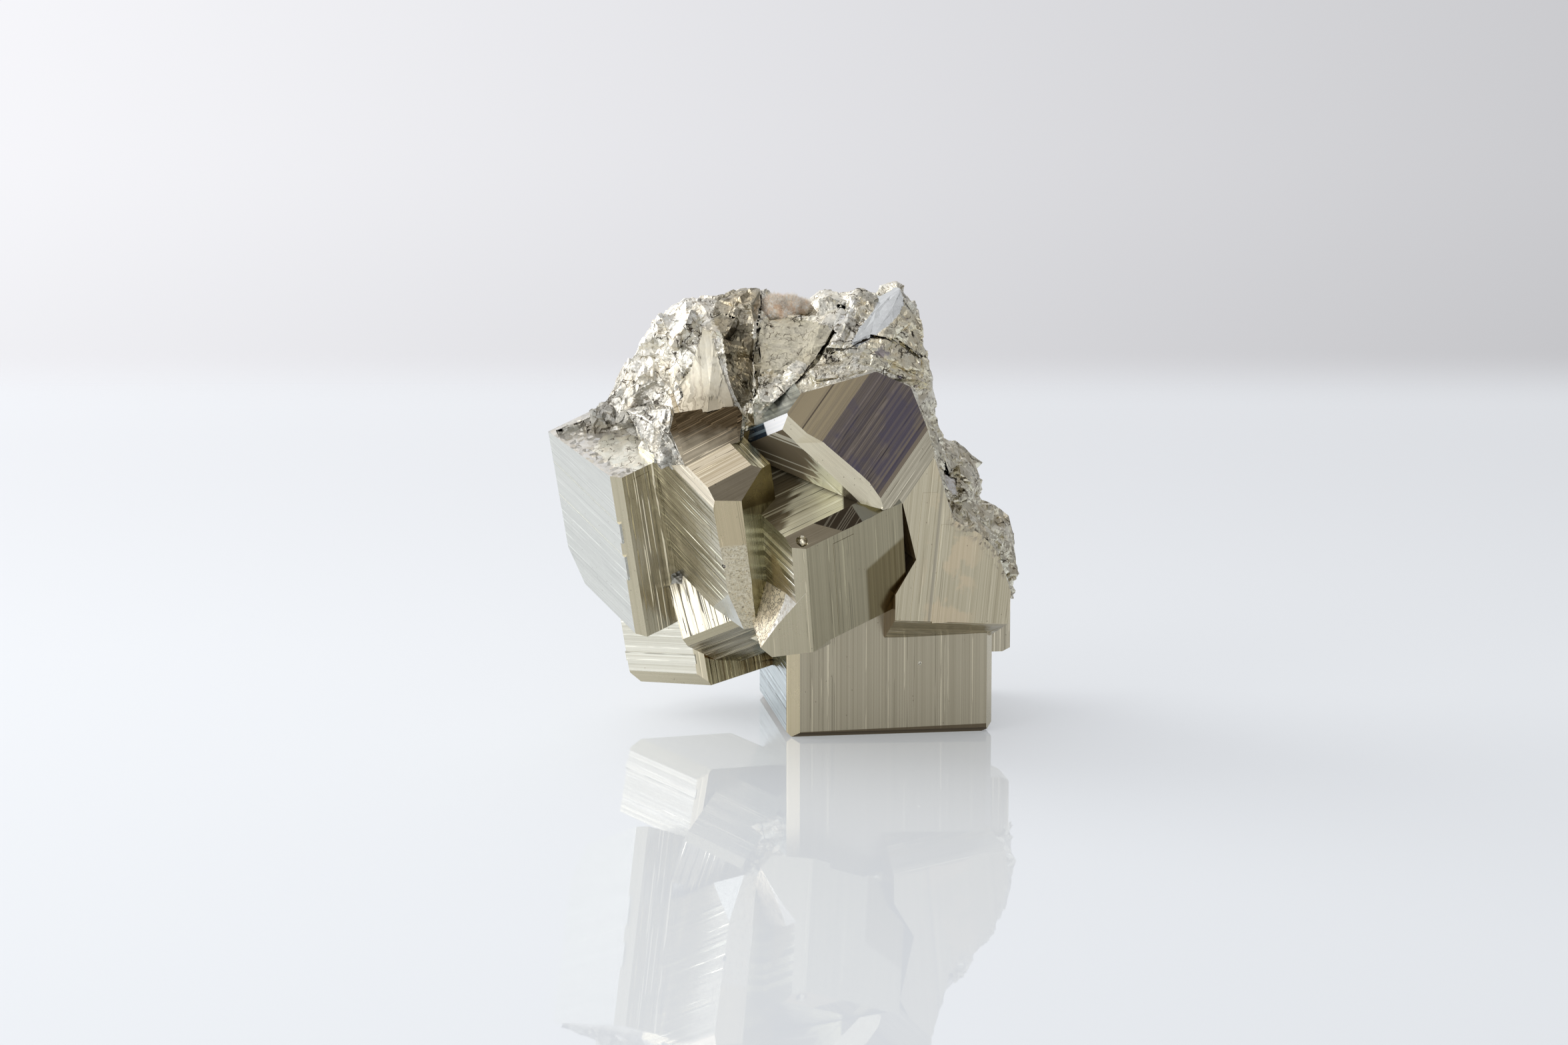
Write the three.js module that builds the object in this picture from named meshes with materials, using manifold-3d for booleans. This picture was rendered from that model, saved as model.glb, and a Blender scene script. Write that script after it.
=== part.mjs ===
import * as THREE from "three";
import { ConvexGeometry } from "three/addons/geometries/ConvexGeometry.js";
import { mergeVertices } from "three/addons/utils/BufferGeometryUtils.js";
import Module from "manifold-3d";

// A pyrite specimen, about 71 mm wide: cube-shaped crystals grown through each other, on a
// lump broken off behind and above them, with a pale tuft and a white crust of other minerals.
// Millimetres, +Z up, the viewer's side at -Y. While it is put together the front left
// bottom corner of the base crystal is at (0, 0, 0).

const GAP = 0.3;            // clearance between the pyrite and the tuft or the crust
const WELD = 1e-4;          // corners nearer than this are one corner

// Every crystal is a block measured from its front left bottom corner: x to the right
// along its front, y away from the viewer and z up. turn is about Z, lean brings the top
// towards the viewer, roll tips it sideways (degrees).
const BASE = { corner: [0, 0, 0], turn: 8, lean: 0, roll: 0 };
const BASE_SIZE = [31.5, 31, 21];
const TALL = { corner: [-21.9, 4.1, 14.2], turn: 36, lean: 22, roll: -22 };
const TALL_SIZE = [12, 20.3, 44];
const MIDDLE = { corner: [-6.7, -10.8, 17.5], turn: 36, lean: 25, roll: -25 };
const MIDDLE_SIZE = [11, 24, 27.6];
const FRONT = { corner: [3.8, -11.9, 16.2], turn: 37, lean: 24, roll: -21 };
const FRONT_SIZE = [16.7, 24, 20.8];
const UPPER = { corner: [14.3, -17.8, 37.5], turn: 31, lean: -19, roll: 47 };
const UPPER_SIZE = [22.8, 22, 21];
const UPPER_UNDER = -0.4;
const UPPER_BEVEL_DEPTH = 2.6;
// The upper crystal's lower bevel is bowed: [x, height up the front face] along it.
const UPPER_BEVEL = [
  [-21.8, 0.5], [-16.6, 0.5], [-13.3, 1.25], [-5.2, 1.6], [-1.7, 0.9], [0.6, 0.1], [2.6, 0],
];
const RIGHT = { corner: [15.9, -7.2, 19], turn: 23, lean: 8, roll: 2 };
const RIGHT_SIZE = [18.6, 20, 31];
const LOWER_LEFT = { corner: [-12.4, 6.8, 6.3], turn: -47, lean: 6, roll: -7 };
const LOWER_LEFT_SIZE = [18.1, 20, 12];
const SMALL = { corner: [-15, -1.3, 15.6], turn: -24, lean: -22, roll: -25 };
const SMALL_SIZE = [9, 17, 12];
const REAR = { corner: [28, 16, 9.8], turn: 8, lean: 0, roll: 0 };
const REAR_SIZE = [6.2, 8, 14];

// The broken lump behind: its rim as the viewer sees it, from the left round over the
// top and back underneath, each point [x, z], at RIM_Y; it bulges forward and backward.
const LUMP_CENTRE = [-3, 42];
const LUMP_RIM_Y = 4;
const LUMP_FORWARD = 15.5;
const LUMP_BACKWARD = 24;
const LUMP_RIM = [
  [-34.6, 46.2], [-30.8, 47.3], [-28, 49.2], [-25.5, 52.5], [-23.5, 56.7], [-21.2, 59.8],
  [-19.6, 61], [-18.4, 63.8], [-16.5, 65.3], [-14.2, 66.3], [-9.5, 65.9], [-6.7, 66.9],
  [-4.2, 67.3], [-3.4, 65], [-2.4, 63.2], [1.8, 63.6], [3.3, 65.2], [6.1, 66.4], [9.7, 67.2],
  [11.4, 66.8], [13.1, 65.4], [15.5, 66.6], [16.8, 67.4], [18.4, 65.4], [19.7, 63.4],
  [20.7, 58.1], [21.3, 53.8], [21.9, 47.7], [24, 40], [27, 30], [28, 20], [16, 13], [2, 13],
  [-9, 15], [-17, 21], [-25, 29], [-30.5, 37],
];
const LUMP_FLAT_LEFT = 3;   // how far its left end bulges forward, where a crystal covers it
const LUMP_ACROSS = [-27, -13];  // from left to right it grows forward over this stretch
const LUMP_UPWARD = [34, 50];    // and from the bottom up over this one
const LUMP_ROUND = 44;      // points round the rim
const LUMP_RINGS = 8;       // rings from the middle to the rim
const LUMP_SEED = 5;
const LUMP_SQUARENESS = 0.83;   // below 1 the lump fills its outline more squarely
const RIM_EVENING = 0.012;  // share of the way round that one evening step covers
const RIM_SHARPNESS = 5;    // the higher, the nearer the rim its small notches begin

// Ledges of broken rock standing out of the lump.
const LEDGE_HEIGHT = 0.5;   // mean height of a ledge over the surface
const LEDGE_ROOT = 3.6;     // depth of a ledge's root inside the lump
const LEDGE_LEAN = 0.24;    // most that a ledge's face slopes
// count is over the whole side, size is half the mean width.
const FRONT_LEDGES = { count: 150, size: 2.9, seed: 7 };
const BACK_LEDGES = { count: 56, size: 4.2, seed: 12 };
const SHOULDER_FRONT_LEDGES = { count: 44, size: 2.6, seed: 19 };
const SHOULDER_BACK_LEDGES = { count: 20, size: 3.2, seed: 23 };
const CRYSTAL_TOPS = 45;    // front ledges show above this height
const LEDGE_SIDES = 5;
const LEDGE_FLARE = 1.3;    // a ledge's root is this much wider than its face
const UNEVEN = 0.7;         // how far the lump's surface between ledges goes in or out
const RIM_SWING = 1.08;      // ledges keep away from the rim, which is beyond this swing
const GOLDEN_SHARE = 0.61803;
const QUARTER_TURN = Math.PI / 2;

// The piece of the lump that shows behind the right crystal, further back.
const SHOULDER_CENTRE = [22, 28];
const SHOULDER_RIM_Y = 17.5;
const SHOULDER_FORWARD = 19;
const SHOULDER_BACKWARD = 10;
const SHOULDER_RIM = [
  [16, 45.6], [22.6, 44.6], [23.4, 43], [25.6, 41.6], [27.6, 38.5], [28.7, 36.4], [29.5, 33.3],
  [31.6, 32.1], [33.3, 30.3], [34.4, 24.6], [35, 20.9], [34.9, 18.7], [34.1, 17.6],
  [28, 13], [14, 13], [8, 24], [9, 38],
];
const SHOULDER_UPWARD = [16, 30];
const SHOULDER_JOIN = 14;   // left of this it is inside the main lump
const SHOULDER_SEED = 3;
const SHOULDER_ROUND = 28;
const SHOULDER_RINGS = 6;

// Pieces of the broken surface that are bigger than a ledge, each by its corners.
const CHUNKS = {
  behindMiddle: [
    [-14.7, -19.1, 44.3], [-6.9, -15.7, 47.6], [-16.4, -13.1, 51.2], [-11, -12.1, 51.9],
    [-7.2, -11.8, 52], [-6.5, -12.7, 50.9], [-7.3, -14.7, 48.8], [-17, -15, 49],
    [-16.3, -16, 47.8], [-15, -17.8, 45.8], [-15, -8, 46], [-6, -8, 46],
  ],
  besideMiddle: [
    [-18.5, -12.3, 44], [-14, -18.4, 42.2], [-14.9, -18.4, 44.6], [-17.2, -14.5, 48.2],
    [-17, -10, 51.3], [-21, -7.5, 49.5], [-24, -2, 50], [-16, 0, 52], [-12, -6, 44],
  ],
  paleFlame: [
    [-10.6, -5, 62.2], [-9.8, -6, 59.7], [-8.5, -9.5, 54.7], [-7.9, -11.5, 52], [-11.6, -13, 51.4],
    [-15.6, -11.5, 50.8], [-16.5, -8, 53.3], [-12.6, -6.5, 59], [-11.8, -5, 61.3],
    [-10, 4, 60], [-8, 4, 50], [-16, 4, 50],
  ],
  darkHollow: [
    [-9.8, -4, 60.5], [-5.2, -3, 61.5], [-4.8, -7, 57], [-4.6, -11, 53], [-7.9, -10, 52],
    [-6.5, -7.5, 56], [-6, 4, 60], [-6, 4, 50],
  ],
  greyPlate: [
    [-3.5, -2, 63.2], [0.9, -1, 63.8], [4.9, -2, 63.6], [6, -3, 62.4], [5.5, -6, 59.9],
    [4, -8.3, 57.8], [1.9, -10.3, 56], [-2, -13, 52.8], [-4, -12.8, 52.8], [-4.4, -9.5, 56.8],
    [-4.8, -6, 60.7], [0, 6, 62], [0, 6, 52],
  ],
  leftKnob: [
    [-8.2, 1, 64.6], [-7, 0, 66.6], [-5.4, 2, 67.4], [-3.6, 3, 66.9], [-3.3, 0.5, 65.2],
    [-4.6, -2.2, 63], [-5.8, -2.6, 63.2], [-7.4, -1.5, 63.4], [-5, 7, 65], [-5.5, 4, 61],
  ],
  rightKnob: [
    [3.4, 1, 65.4], [4.6, 0, 66.4], [6.6, -0.4, 66.5], [8.1, 1, 66], [8, -1.8, 64.4],
    [6.6, -2.8, 63.2], [4.2, -1.6, 64], [6, 7, 64], [5, 3, 61],
  ],
  farKnob: [
    [8.6, 2, 66.6], [10, 1.6, 67.4], [11.6, 1.6, 66.9], [13.4, 1, 65.4], [12.8, -2.6, 62.6],
    [10.4, -4.4, 60.6], [8.3, -2.4, 62.8], [10, 9, 64],
  ],
  blade: [
    [16.6, 1.6, 67.2], [14.4, -1, 65.7], [12, -3.6, 62.8], [10, -6.4, 60], [10, -7, 59.4],
    [12, -6.4, 60.8], [15.1, -3.2, 64.2], [17.2, 6, 64], [12, 4, 58],
  ],
  rightTop: [
    [17.4, 1.4, 66.2], [19.4, 1, 63.4], [20.4, 0, 58.4], [19.4, -5, 56.4], [15, -7.4, 58.4],
    [12.4, -8.6, 58], [13, -5.6, 61], [16.2, -1.4, 64.4], [16, 8, 62], [18, 8, 54], [12, -4, 52],
  ],
  overUpper: [
    [8, -12.4, 56.4], [13.4, -10, 57.6], [18.6, -7.4, 55.4], [20.8, -3, 54], [12.6, -7, 59.6],
    [4, -13.4, 56.2], [3, -8.5, 57.6], [14, 4, 50], [4, 0, 50],
  ],
};

// Growth steps: thin layers standing STEP off a crystal's face, each [low, high] in the
// crystal's own frame.
const STEP = 0.15;
const SINK = 1;             // how far a layer reaches into its crystal
const STEPS = {
  baseFront: { place: BASE, low: [14.5, -STEP, 0.9], high: [30.1, SINK, 20.4] },
  tallLeftLow: { place: TALL, low: [-STEP, 1.2, 11], high: [SINK, 20.2, 15.6] },
  tallLeftHigh: { place: TALL, low: [-STEP, 1.2, 18.2], high: [SINK, 20.2, 22] },
  tallFront: { place: TALL, low: [2.6, -STEP, 0], high: [5.6, SINK, 30] },
  middleLeftLow: { place: MIDDLE, low: [-STEP, 4, 12], high: [SINK, 20, 14] },
  middleLeftHigh: { place: MIDDLE, low: [-STEP, 4, 17.4], high: [SINK, 14, 19.4] },
  frontFace: { place: FRONT, low: [4.6, -STEP, 0.2], high: [8.2, SINK, 18] },
  rightEdge: { place: RIGHT, low: [2.4, -STEP, 0.2], high: [4.8, SINK, 20] },
  rightPlain: { place: RIGHT, low: [6, -STEP, -0.3], high: [8.5, SINK, 15] },
  lowerLeft: { place: LOWER_LEFT, low: [-17.6, -STEP, 3.6], high: [-1.2, SINK, 5.1] },
  upperLeft: { place: UPPER, low: [-14.4, -STEP, 1.4], high: [-13, SINK, 12.6] },
  upperMiddle: { place: UPPER, low: [-11.4, -STEP, 1.8], high: [-8.6, SINK, 15.4] },
  upperRight: { place: UPPER, low: [-5.4, -STEP, 1.9], high: [-3.6, SINK, 14.8] },
};

// Cracks in the broken surface, each by the points it passes through.
const CRACK_HALF_WIDTH = 0.28;
const CRACK_DEPTH = 1.2;
const CRACK_MOUTH = 0.9;
const CRACKS = {
  leftOfPlate: [[-3.7, -0.4, 64], [-4.5, -5.7, 61.9], [-4.4, -9, 56.5], [-4.2, -10.4, 53.4]],
  rightOfPlate: [
    [7.9, -0.6, 65.2], [7.7, -3.2, 63.5], [5.7, -6.7, 60.6], [3.8, -8.8, 57.6], [1.8, -10.2, 56],
  ],
  branch: [[5.6, -7.2, 59.8], [10.2, -7.1, 59.8]],
  far: [[12.1, -5.8, 61.6], [16, -4.4, 60.9], [19.4, -3.9, 58]],
};

// Small pits, and the knob left standing in the largest of them.
const PITS = {
  onBase: { at: [19.9, 2.6, 10.9], radius: 0.35 },
  onMiddle: { at: [-9.3, -16.8, 29.3], radius: 0.45 },
  onFront: { at: [2.1, -21.5, 33.9], radius: 1.05 },
};
const PIT_KNOB = { at: [2.1, -21.2, 33.6], radius: 0.62 };

// The pale tuft in the notch at the top, as overlapping balls.
const TUFT = [
  { at: [-1.8, 1.2, 64.8], radius: 2 },
  { at: [0.6, 1.6, 64.9], radius: 1.8 },
  { at: [2.3, 2.2, 64.7], radius: 1.3 },
  { at: [-2.6, 0.6, 63.9], radius: 1.1 },
  { at: [-0.2, 0.2, 63.9], radius: 1.3 },
];

// The white crust on the right flank.
const CRUST_MIDDLE = [24.1, 1.2, 38.3];
const CRUST_GROWTH = 1.5;   // spread at a corner for each unit of clearance at the faces
const CRUST = [
  [22.9, -1.5, 39.6], [23.4, 2.2, 39.8], [25.2, 3.4, 38.8], [25.4, 0.4, 37],
  [24.3, -2, 37.2], [23.2, -2.4, 38.4], [24.6, 4.4, 38.2], [23, 2.6, 37],
];

const wasm = await Module();
wasm.setup();

function turned({ turn, lean, roll }) {
  const rad = THREE.MathUtils.degToRad;
  const matrix = new THREE.Matrix4().makeRotationZ(rad(turn));
  matrix.multiply(new THREE.Matrix4().makeRotationX(rad(lean)));
  return matrix.multiply(new THREE.Matrix4().makeRotationY(rad(roll)));
}

function solidOf(geometry) {
  const bare = geometry.clone();
  bare.deleteAttribute("normal");
  bare.deleteAttribute("uv");
  const merged = mergeVertices(bare, WELD);
  return new wasm.Manifold(new wasm.Mesh({
    numProp: 3,
    vertProperties: new Float32Array(merged.getAttribute("position").array),
    triVerts: new Uint32Array(merged.getIndex().array),
  }));
}

function geometryOf(solid) {
  const mesh = solid.getMesh();
  const geometry = new THREE.BufferGeometry();
  geometry.setAttribute("position", new THREE.BufferAttribute(mesh.vertProperties, 3));
  geometry.setIndex(new THREE.BufferAttribute(mesh.triVerts, 1));
  geometry.computeVertexNormals();
  return geometry;
}

// The corners of the space under every plane (n.p <= d).
function cornersUnder(planes) {
  const corners = [];
  const m = new THREE.Matrix3();
  for (let i = 0; i < planes.length; i++) {
    for (let j = i + 1; j < planes.length; j++) {
      for (let k = j + 1; k < planes.length; k++) {
        const [a, b, c] = [planes[i], planes[j], planes[k]];
        m.set(a.n.x, a.n.y, a.n.z, b.n.x, b.n.y, b.n.z, c.n.x, c.n.y, c.n.z);
        if (Math.abs(m.determinant()) < 1e-6) continue;
        const p = new THREE.Vector3(a.d, b.d, c.d).applyMatrix3(m.clone().invert());
        if (planes.every((plane) => plane.n.dot(p) <= plane.d + 1e-6)) corners.push(p);
      }
    }
  }
  return corners;
}

function facePlanes([x0, y0, z0], [x1, y1, z1]) {
  return {
    right: { n: new THREE.Vector3(1, 0, 0), d: x1 },
    left: { n: new THREE.Vector3(-1, 0, 0), d: -x0 },
    back: { n: new THREE.Vector3(0, 1, 0), d: y1 },
    front: { n: new THREE.Vector3(0, -1, 0), d: -y0 },
    top: { n: new THREE.Vector3(0, 0, 1), d: z1 },
    bottom: { n: new THREE.Vector3(0, 0, -1), d: -z0 },
  };
}

// A bevel takes setA off face a and setB off face b, both measured from their edge.
function bevelPlane(faces, [a, setA, b, setB]) {
  const n = faces[a].n.clone().divideScalar(setB);
  n.addScaledVector(faces[b].n, 1 / setA);
  const d = faces[a].d / setB + faces[b].d / setA - 1;
  const length = n.length();
  return { n: n.divideScalar(length), d: d / length };
}

// A cut through three points of the block's own frame; the middle of the block stays.
function brokenPlane([p, q, r], middle) {
  const [a, b, c] = [p, q, r].map((v) => new THREE.Vector3(...v));
  const n = b.clone().sub(a).cross(c.clone().sub(a)).normalize();
  if (n.dot(middle) > n.dot(a)) n.negate();
  return { n, d: n.dot(a) };
}

function block(place, low, high, bevels = [], broken = []) {
  const faces = facePlanes(low, high);
  const middle = new THREE.Vector3(...low).add(new THREE.Vector3(...high)).divideScalar(2);
  const planes = [
    ...Object.values(faces),
    ...bevels.map((bevel) => bevelPlane(faces, bevel)),
    ...broken.map((points) => brokenPlane(points, middle)),
  ];
  const matrix = turned(place).setPosition(...place.corner);
  const corners = cornersUnder(planes).map((p) => p.applyMatrix4(matrix));
  return solidOf(new ConvexGeometry(corners));
}

function joined(solids) {
  return solids.reduce((sum, solid) => sum.add(solid));
}

// The crystals.

function baseCrystal() {
  const bevels = [
    ["left", 1.1, "front", 1.9],
    ["front", 1.2, "right", 2.4],
    ["front", 0.7, "bottom", 0.7],
    ["left", 0.7, "bottom", 0.7],
    ["right", 1, "bottom", 1.8],
  ];
  return block(BASE, [0, 0, 0], BASE_SIZE, bevels);
}

function tallCrystal() {
  const bevels = [["left", 1.8, "front", 1]];
  const broken = [
    [[0, 0, 31.2], [8, 0, 31.2], [0, 20, 27.8]],
    [[0, 16.5, 0], [0, 20.3, 5], [9, 16.5, 0]],
  ];
  return block(TALL, [0, 0, 0], TALL_SIZE, bevels, broken);
}

function middleCrystal() {
  const bevels = [
    ["left", 1.9, "front", 3.7],
    ["front", 1.8, "top", 3.7],
    ["left", 2.6, "top", 0.6],
    ["top", 3, "right", 1.5],
  ];
  const broken = [
    [[3.7, 0, 25], [11, 3.7, 25], [2, 0, 0]],
    [[0, 7, 1.4], [0, 2.3, 7.1], [1.2, 0.9, 0.3]],
    [[0, 16.5, 24.3], [0.4, 9.5, 27.6], [5, 20.2, 27.6]],
  ];
  return block(MIDDLE, [0, 0, 0], MIDDLE_SIZE, bevels, broken);
}

function frontCrystal() {
  const bevels = [
    ["left", 1, "front", 1.8],
    ["front", 1.3, "top", 2.7],
  ];
  return block(FRONT, [-1.8, 0, 0], FRONT_SIZE, bevels);
}

// The front crystal is wider at the bottom, where a rough edge and a brown facet cut it.
function frontFoot() {
  const bevels = [["left", 4.5, "front", 9]];
  const broken = [
    [[-1.8, 1, 9.9], [-6.8, 3.5, 1.5], [-1.8, 3.6, 9.2]],
    [[-1.8, 3.6, 9.2], [-1.8, 8.7, 9.4], [-7, 4.6, 2]],
    [[-7.5, 3.8, 2.3], [-5.5, 2.9, -0.7], [-3.5, 12, 3]],
  ];
  return block(FRONT, [-9, 0, -0.8], [3, 16, 11], bevels, broken);
}

function upperCrystal() {
  const [x, y, z] = UPPER_SIZE;
  const bevels = [
    ["front", 3.9, "right", 2],
    ["left", 1.1, "bottom", 1.6],
  ];
  const broken = [
    [[0.3, 0, -0.1], [2, 2, 4], [-0.3, 7.1, 7.5]],
    [[-20.8, 0, 4.6], [-13.4, 0, 15.8], [-20, 5, 9]],
    [[-13.4, 0, 15.8], [-7.8, 0, 17.9], [-11, 6, 19]],
    [[-7.8, 0, 17.9], [-1.6, 0, 14.5], [-4, 8, 19]],
  ];
  const whole = block(UPPER, [-20.8, 0, UPPER_UNDER], [x - 20.8, y, z], bevels, broken);
  const cuts = UPPER_BEVEL.slice(1).map((to, i) => bowedCut(UPPER_BEVEL[i], to));
  return whole.subtract(joined(cuts));
}

// One flat of the upper crystal's bowed lower bevel, between two of its stations.
function bowedCut(...stations) {
  const matrix = turned(UPPER).setPosition(...UPPER.corner);
  const corners = stations.flatMap(([x, height]) => {
    const rise = height - UPPER_UNDER;
    const [outY, outZ] = [-0.2 * UPPER_BEVEL_DEPTH, height + 0.2 * rise];
    const [inY, inZ] = [1.2 * UPPER_BEVEL_DEPTH, UPPER_UNDER - 0.2 * rise];
    return [[x, outY, outZ], [x, inY, inZ], [x, outY, inZ]];
  });
  return solidOf(new ConvexGeometry(corners.map((c) => new THREE.Vector3(...c).applyMatrix4(matrix))));
}

function rightCrystal() {
  const [x, y] = RIGHT_SIZE;
  const under = [[0, 0, 0.4], [18.4, 0, -1], [9, 4.5, -3.3]];
  const lower = block(RIGHT, [-0.4, 0, -5], [x, y, 16], [], [
    under,
    [[0, 0, 0], [-0.4, 0, 4.4], [1.7, 5.9, -3.5]],
    [[-0.4, 0, 4.4], [2.4, 0, 9.7], [1.4, 6, 4.4]],
    [[7.8, 0, 15.7], [12.4, 0, 13.4], [9, 6, 17]],
    [[12.4, 0, 13.4], [15.5, 0, 10.7], [15, 6, 13]],
    [[15.5, 0, 10.7], [17.7, 0, 6], [18, 6, 8]],
  ]);
  const upper = block(RIGHT, [-3, 0, 9.7], [9, y, 31], [], [
    [[2.4, 0, 9.7], [-0.8, 0, 18.8], [2.4, 6, 9.7]],
    [[-0.8, 0, 18.8], [2.5, 0, 26.3], [-2, 4, 19]],
    [[2.5, 0, 26.3], [3.9, 0, 25], [2.5, 8, 30]],
    [[3.9, 0, 25], [7.8, 0, 15.7], [6, 6, 26]],
  ]);
  return lower.add(upper);
}

function lowerLeftCrystal() {
  const [x, y, z] = LOWER_LEFT_SIZE;
  const bevels = [
    ["front", 2, "bottom", 1.2],
    ["front", 1.45, "right", 0.8],
    ["left", 2.4, "bottom", 1.6],
    ["left", 1.2, "front", 0.7],
  ];
  return block(LOWER_LEFT, [-x, 0, 0], [0, y, z], bevels);
}

function smallCrystal() {
  const [x, y, z] = SMALL_SIZE;
  return block(SMALL, [-0.7, 0, -0.8], [x, y, z], [["front", 0.8, "bottom", 1.5]]);
}

function rearCrystal() {
  const bevels = [["right", 0.6, "bottom", 1.2]];
  return block(REAR, [0, 0, 0], REAR_SIZE, bevels);
}

// The broken lump.

// Numbers between 0 and 1, the same each time for the same seed.
function steadyRandom(seed) {
  let state = seed;
  return () => {
    state = (state * 1664525 + 1013904223) % 4294967296;
    return state / 4294967296;
  };
}

// The rim point at a share (0 to 1) of the way round.
function rimPoint(rim, share) {
  const along = (((share % 1) + 1) % 1) * rim.length;
  const i = Math.floor(along) % rim.length;
  const [ax, az] = rim[i];
  const [bx, bz] = rim[(i + 1) % rim.length];
  const t = along - Math.floor(along);
  return [ax + (bx - ax) * t, az + (bz - az) * t];
}

// The same rim with its small notches evened out.
function evenRimPoint(rim, share) {
  const reach = [-3, -2, -1, 0, 1, 2, 3].map((step) => rimPoint(rim, share + step * RIM_EVENING));
  const mean = (k) => reach.reduce((sum, p) => sum + p[k], 0) / reach.length;
  return [mean(0), mean(1)];
}

// One point of a lump's surface: side -1 is the front, 1 the back; swing goes from 0 at the
// middle of that side to a quarter turn at the rim.
function lumpPoint({ centre, rim, rimY, forward, backward }, side, swing, share) {
  const out = Math.sin(swing) ** LUMP_SQUARENESS;
  const [cx, cz] = centre;
  const [sx, sz] = rimPoint(rim, share);
  const [ex, ez] = evenRimPoint(rim, share);
  const sharp = out ** RIM_SHARPNESS;
  const x = cx + (ex + (sx - ex) * sharp - cx) * out;
  const z = cz + (ez + (sz - ez) * sharp - cz) * out;
  const reach = side < 0 ? forward(x, z) : backward;
  return new THREE.Vector3(x, rimY + side * reach * Math.cos(swing), z);
}

// A lump seen as its rim from the front, bulging forward and back from the rim's depth,
// its surface uneven.
function lumpCore(shape) {
  const { round, rings, seed } = shape;
  const random = steadyRandom(seed);
  const between = (size) => (random() - 0.5) * 2 * size;
  const positions = [];
  const index = [];
  const place = (side, ring, i) => {
    const swing = (ring / rings) * QUARTER_TURN;
    if (ring === 0 || ring === rings) return lumpPoint(shape, side, swing, i / round);
    const unevenSwing = swing + between(0.3) * (QUARTER_TURN / rings);
    const share = (i + between(0.3)) / round;
    const outward = lumpOutward(shape, side, unevenSwing, share);
    const height = between(UNEVEN) * Math.min(1, swing ** 2);
    return lumpPoint(shape, side, unevenSwing, share).addScaledVector(outward, height);
  };
  const corner = (side, ring, i) => {
    const row = ring === rings ? 2 * rings : (side < 0 ? 0 : rings) + ring;
    return row * round + (i % round);
  };
  const addRow = (side, ring) => {
    for (let i = 0; i < round; i++) positions.push(...place(side, ring, i).toArray());
  };
  const addPatch = (side, ring, i) => {
    const [p, q] = [corner(side, ring, i), corner(side, ring + 1, i)];
    const [r, t] = [corner(side, ring + 1, i + 1), corner(side, ring, i + 1)];
    const faces = (ring + i) % 2 === 0 || ring === 0 ? [[p, q, r], [p, r, t]] : [[p, q, t], [q, r, t]];
    for (const [a, b, c] of ring === 0 ? faces.slice(0, 1) : faces) {
      index.push(...(side < 0 ? [a, c, b] : [a, b, c]));
    }
  };
  for (const side of [-1, 1]) {
    for (let ring = 0; ring < rings; ring++) addRow(side, ring);
  }
  addRow(1, rings);
  for (const side of [-1, 1]) {
    for (let ring = 0; ring < rings; ring++) {
      for (let i = 0; i < round; i++) addPatch(side, ring, i);
    }
  }
  const geometry = new THREE.BufferGeometry();
  geometry.setAttribute("position", new THREE.Float32BufferAttribute(positions, 3));
  geometry.setIndex(index);
  return solidOf(geometry);
}

// A ledge is a five-sided piece with a sloping flat face, wider at its root.
function ledge(at, outward, size, random) {
  const between = (size) => (random() - 0.5) * 2 * size;
  const u = new THREE.Vector3(0, 1, 0).cross(outward);
  if (u.length() < 0.3) u.set(1, 0, 0).cross(outward);
  u.normalize();
  const v = outward.clone().cross(u);
  const height = LEDGE_HEIGHT * (1 + between(1));
  const [slopeU, slopeV] = [between(LEDGE_LEAN), between(LEDGE_LEAN)];
  const spin = between(Math.PI);
  const corners = [];
  for (const [wide, root] of [[1, false], [LEDGE_FLARE, true]]) {
    for (let k = 0; k < LEDGE_SIDES; k++) {
      const angle = spin + ((k + between(0.25)) / LEDGE_SIDES) * 2 * Math.PI;
      const radius = size * wide * (1 + between(0.35));
      const [a, b] = [radius * Math.cos(angle), radius * Math.sin(angle) * 0.75];
      const c = root ? -LEDGE_ROOT : height + slopeU * a + slopeV * b;
      corners.push(at.clone().addScaledVector(u, a).addScaledVector(v, b).addScaledVector(outward, c));
    }
  }
  return solidOf(new ConvexGeometry(corners));
}

// The direction square to a lump's surface, away from it.
function lumpOutward(shape, side, swing, share) {
  const nudge = 0.03;
  const at = (dSwing, dShare) => lumpPoint(shape, side, swing + dSwing, share + dShare);
  const across = at(nudge, 0).sub(at(-nudge, 0));
  const round = at(0, nudge).sub(at(0, -nudge));
  const outward = across.cross(round).normalize();
  return outward.y * side < 0 ? outward.negate() : outward;
}

// Ledges spread evenly over one side of a lump, kept where keep(point) holds.
function ledges(shape, side, { count, size, seed }, keep) {
  const random = steadyRandom(seed);
  const pieces = [];
  for (let i = 0; i < count; i++) {
    const swing = Math.acos(1 - ((i + 0.5) / count) * 0.96);
    const share = (i * GOLDEN_SHARE) % 1;
    const at = lumpPoint(shape, side, swing, share);
    const piece = ledge(at, lumpOutward(shape, side, swing, share), size, random);
    if (swing < RIM_SWING && keep(at)) pieces.push(piece);
  }
  return pieces;
}

// Whether a point of the front is clear of the middles of the bigger pieces.
function clearOfChunks(at) {
  return Object.values(CHUNKS).every((corners) => {
    const box = new THREE.Box3().setFromPoints(corners.map((corner) => new THREE.Vector3(...corner)));
    const middle = box.getCenter(new THREE.Vector3());
    const size = box.getSize(new THREE.Vector3());
    return Math.hypot(at.x - middle.x, at.z - middle.z) > 0.42 * Math.max(size.x, size.z) + 1;
  });
}

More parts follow.
